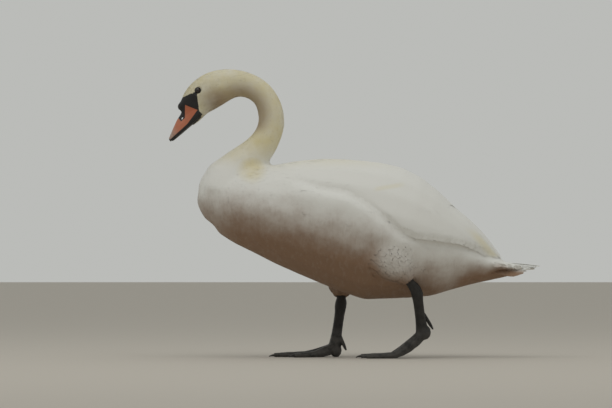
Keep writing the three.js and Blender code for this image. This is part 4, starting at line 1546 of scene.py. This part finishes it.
# %% [markdown]
# ### Legs and feet
#
# A swan's legs are black leather: small plates on the shank, rings of scutes along the toes, and thin webs
# that crease where they fold. The joints are knobs. The large shapes, which are the joints, the tendons along
# the shank and the folds of the webs, are carved into the mesh. The scales could be carved too, but they are
# so shallow that bump is enough.

# %% Leg and foot finish
leg_finish = Finish("leg_skin")
plates = leg_finish.node("ShaderNodeTexVoronoi", {"feature": "DISTANCE_TO_EDGE"}, {"Scale": 420.0})
cloud = leg_finish.noise(60, 4, 0.6)
fine = leg_finish.noise(700, 3, 0.6)
leather = leg_finish.mix(cloud.band(0.35, 0.7), colour(0.011, 0.010, 0.009), colour(0.030, 0.027, 0.024))
x, y, z = leg_finish.place()
# Lighter grey low on the feet: partly dusty skin, partly painted sheen on the webs and toes.
dust_and_sheen = z.band(0.075, 0.03) * cloud.band(0.25, 0.6)
leather = leg_finish.mix(dust_and_sheen * 0.8, leather, colour(0.10, 0.094, 0.085))
leg_finish.set(Base_Color=leather, Roughness=fine * 0.25 + 0.36)
leg_finish.bump(plates.band(0.0, 0.12) * 0.6 + fine * 0.4, 0.0005, 0.8)

# %% Middle lines of the toes
# Per leg: its side of the bird, the heel joint and the ball of the foot as [x, y, z], how far along a toe its
# line comes down to the ground and how steeply, and the turn of the foot inward in degrees.
LEGS = {
    "left": {
        "side": -1, "hock": np.array([133.0, -80, 145]), "ball": np.array([146.0, -56, 53]),
        "reach": 66, "settle": 1.3, "toe_in": 8,
    },
    "right": {
        "side": 1, "hock": np.array([-26.0, 64, 118]), "ball": np.array([-40.0, 56, 22]),
        "reach": 60, "settle": 1.5, "toe_in": 6,
    },
}
# Per toe: turn away from straight ahead in degrees, length, and the joints as shares of the length.
TOES = {
    "inner": (-27, 104, (0.34, 0.68)),
    "middle": (0, 130, (0.3, 0.56, 0.8)),
    "outer": (22, 122, (0.26, 0.46, 0.66, 0.86)),
}
TOE_HEIGHT, TOE_TAPER = 6, 0.28  # of the middle line at the toe's root, and what it loses on the way


def toe_points(leg, toe, shares):
    """Points along a toe's middle line, in millimetres, from the ball of the foot to the claw."""
    splay, length, _ = TOES[toe]
    outward = math.radians(leg["side"] * (splay - leg["toe_in"]))
    gone = shares * length
    left = np.maximum(0, 1 - gone / leg["reach"])
    rest = TOE_HEIGHT * (1 - TOE_TAPER * shares)
    x = leg["ball"][0] - gone * math.cos(outward)
    y = leg["ball"][1] + gone * math.sin(outward)
    return np.stack([x, y, rest + (leg["ball"][2] - rest) * left ** leg["settle"]], axis=1)


# %% Relief of the shank
KNOB_HEIGHT, TENDON_HEIGHT = 0.9, 0.45


def shank_relief(leg, place):
    """Millimetres out for each place: the knob of the heel joint and three tendons along the shank."""
    hock, ball = leg["hock"], leg["ball"]
    knob = np.exp(-(np.linalg.norm(place - hock, axis=1) / 13) ** 2)
    run = (place - hock) @ (ball - hock) / np.sum((ball - hock) ** 2)
    aside = place[:, 1] - ball[1] - (1 - run) * (hock[1] - ball[1])
    behind = place[:, 0] - hock[0] - run * (ball[0] - hock[0])
    turn = np.arctan2(aside, behind)
    tendon = TENDON_HEIGHT * np.cos(turn * 3 + 0.6) * step(run, 0.08, 0.25) * step(-run, -0.98, -0.8)
    return KNOB_HEIGHT * knob * np.cos(turn * 2) + tendon


# %% Relief of the foot
LINE_POINTS = 60
JOINT_HEIGHT, SCUTE_HEIGHT, FOLD_HEIGHT = 0.75, 0.16, 0.3
WEB_FOLDS = 30  # waves per radian, fanned out from the ball of the foot


def along_toe(leg, toe, place):
    """(share of the toe's length, distance from its middle line) for each place."""
    shares = np.linspace(0, 1, LINE_POINTS)
    tree = KDTree(LINE_POINTS)
    for k, spot in enumerate(toe_points(leg, toe, shares)):
        tree.insert(spot, k)
    tree.balance()
    found = [tree.find(p)[1:] for p in place.tolist()]
    return shares[np.array([f[0] for f in found])], np.array([f[1] for f in found])


def foot_relief(leg, place, normals):
    """Millimetres out for each place: the toes' joints and scutes, and the folds of the webs."""
    total = np.zeros(len(place))
    nearest = np.full(len(place), np.inf)
    for toe, (_, length, joints) in TOES.items():
        share, away = along_toe(leg, toe, place)
        near = np.exp(-((away / 7.5) ** 2))
        for joint in joints:
            total += JOINT_HEIGHT * hump(share, joint, 0.045) * near
        total += SCUTE_HEIGHT * np.sin(share * length * 2.0) * near * (normals[:, 2] > 0.2)
        nearest = np.minimum(nearest, away)
    ahead = leg["ball"][0] - place[:, 0]
    aside = place[:, 1] - leg["ball"][1]
    fold = np.sin(np.arctan2(aside, np.maximum(ahead, 8)) * WEB_FOLDS)
    total += FOLD_HEIGHT * fold * step(nearest, 7, 10)
    return total * step(place[:, 2], 0.5, 2.0)


# %% Carve the legs
for side_name, leg in LEGS.items():

    def leg_relief(points, normals, leg=leg):
        place = points / MM
        ball = leg["ball"]
        on_foot = step(ball[2] + 8 - place[:, 2], 0, 12) * step(ball[0] + 2 - place[:, 0], 0, 10)
        return shank_relief(leg, place) * (1 - on_foot) + foot_relief(leg, place, normals) * on_foot

    def near_joint(points, ball=leg["ball"]):
        away = np.linalg.norm(points / MM - ball, axis=1)
        return np.maximum(1 - step(away, 13, 26), step(points[:, 2] / MM, ball[2] + 4, ball[2] + 16) * 0.6)

    parts = [f"shank_{side_name}", f"foot_{side_name}", f"hind_toe_{side_name}"]
    carved(f"leg_{side_name}_skin", parts, 1.0, 3, leg_relief, leg_finish, 0.25, near_joint)

# %% [markdown]
# ### Claws
#
# The claws are short, blunt and worn, and their dull black horn is streaked from root to tip. They could be
# part of the feet, but horn shines more than leather, so they are pieces of their own.

# %% Claws
claw_finish = Finish("claw_horn", 0.32)
streaks = claw_finish.noise(500, 3, 0.6, (1, 4, 1))
claw_finish.set(Base_Color=claw_finish.mix(streaks, colour(0.008, 0.0075, 0.007), colour(0.035, 0.03, 0.026)))
claw_finish.bump(streaks, 0.0002, 0.5)
for side_name in LEGS:
    for toe in TOES:
        node = f"claw_{toe}_{side_name}"
        carved(f"{node}_horn", [node], 0.45, 4, plain, claw_finish, 0)
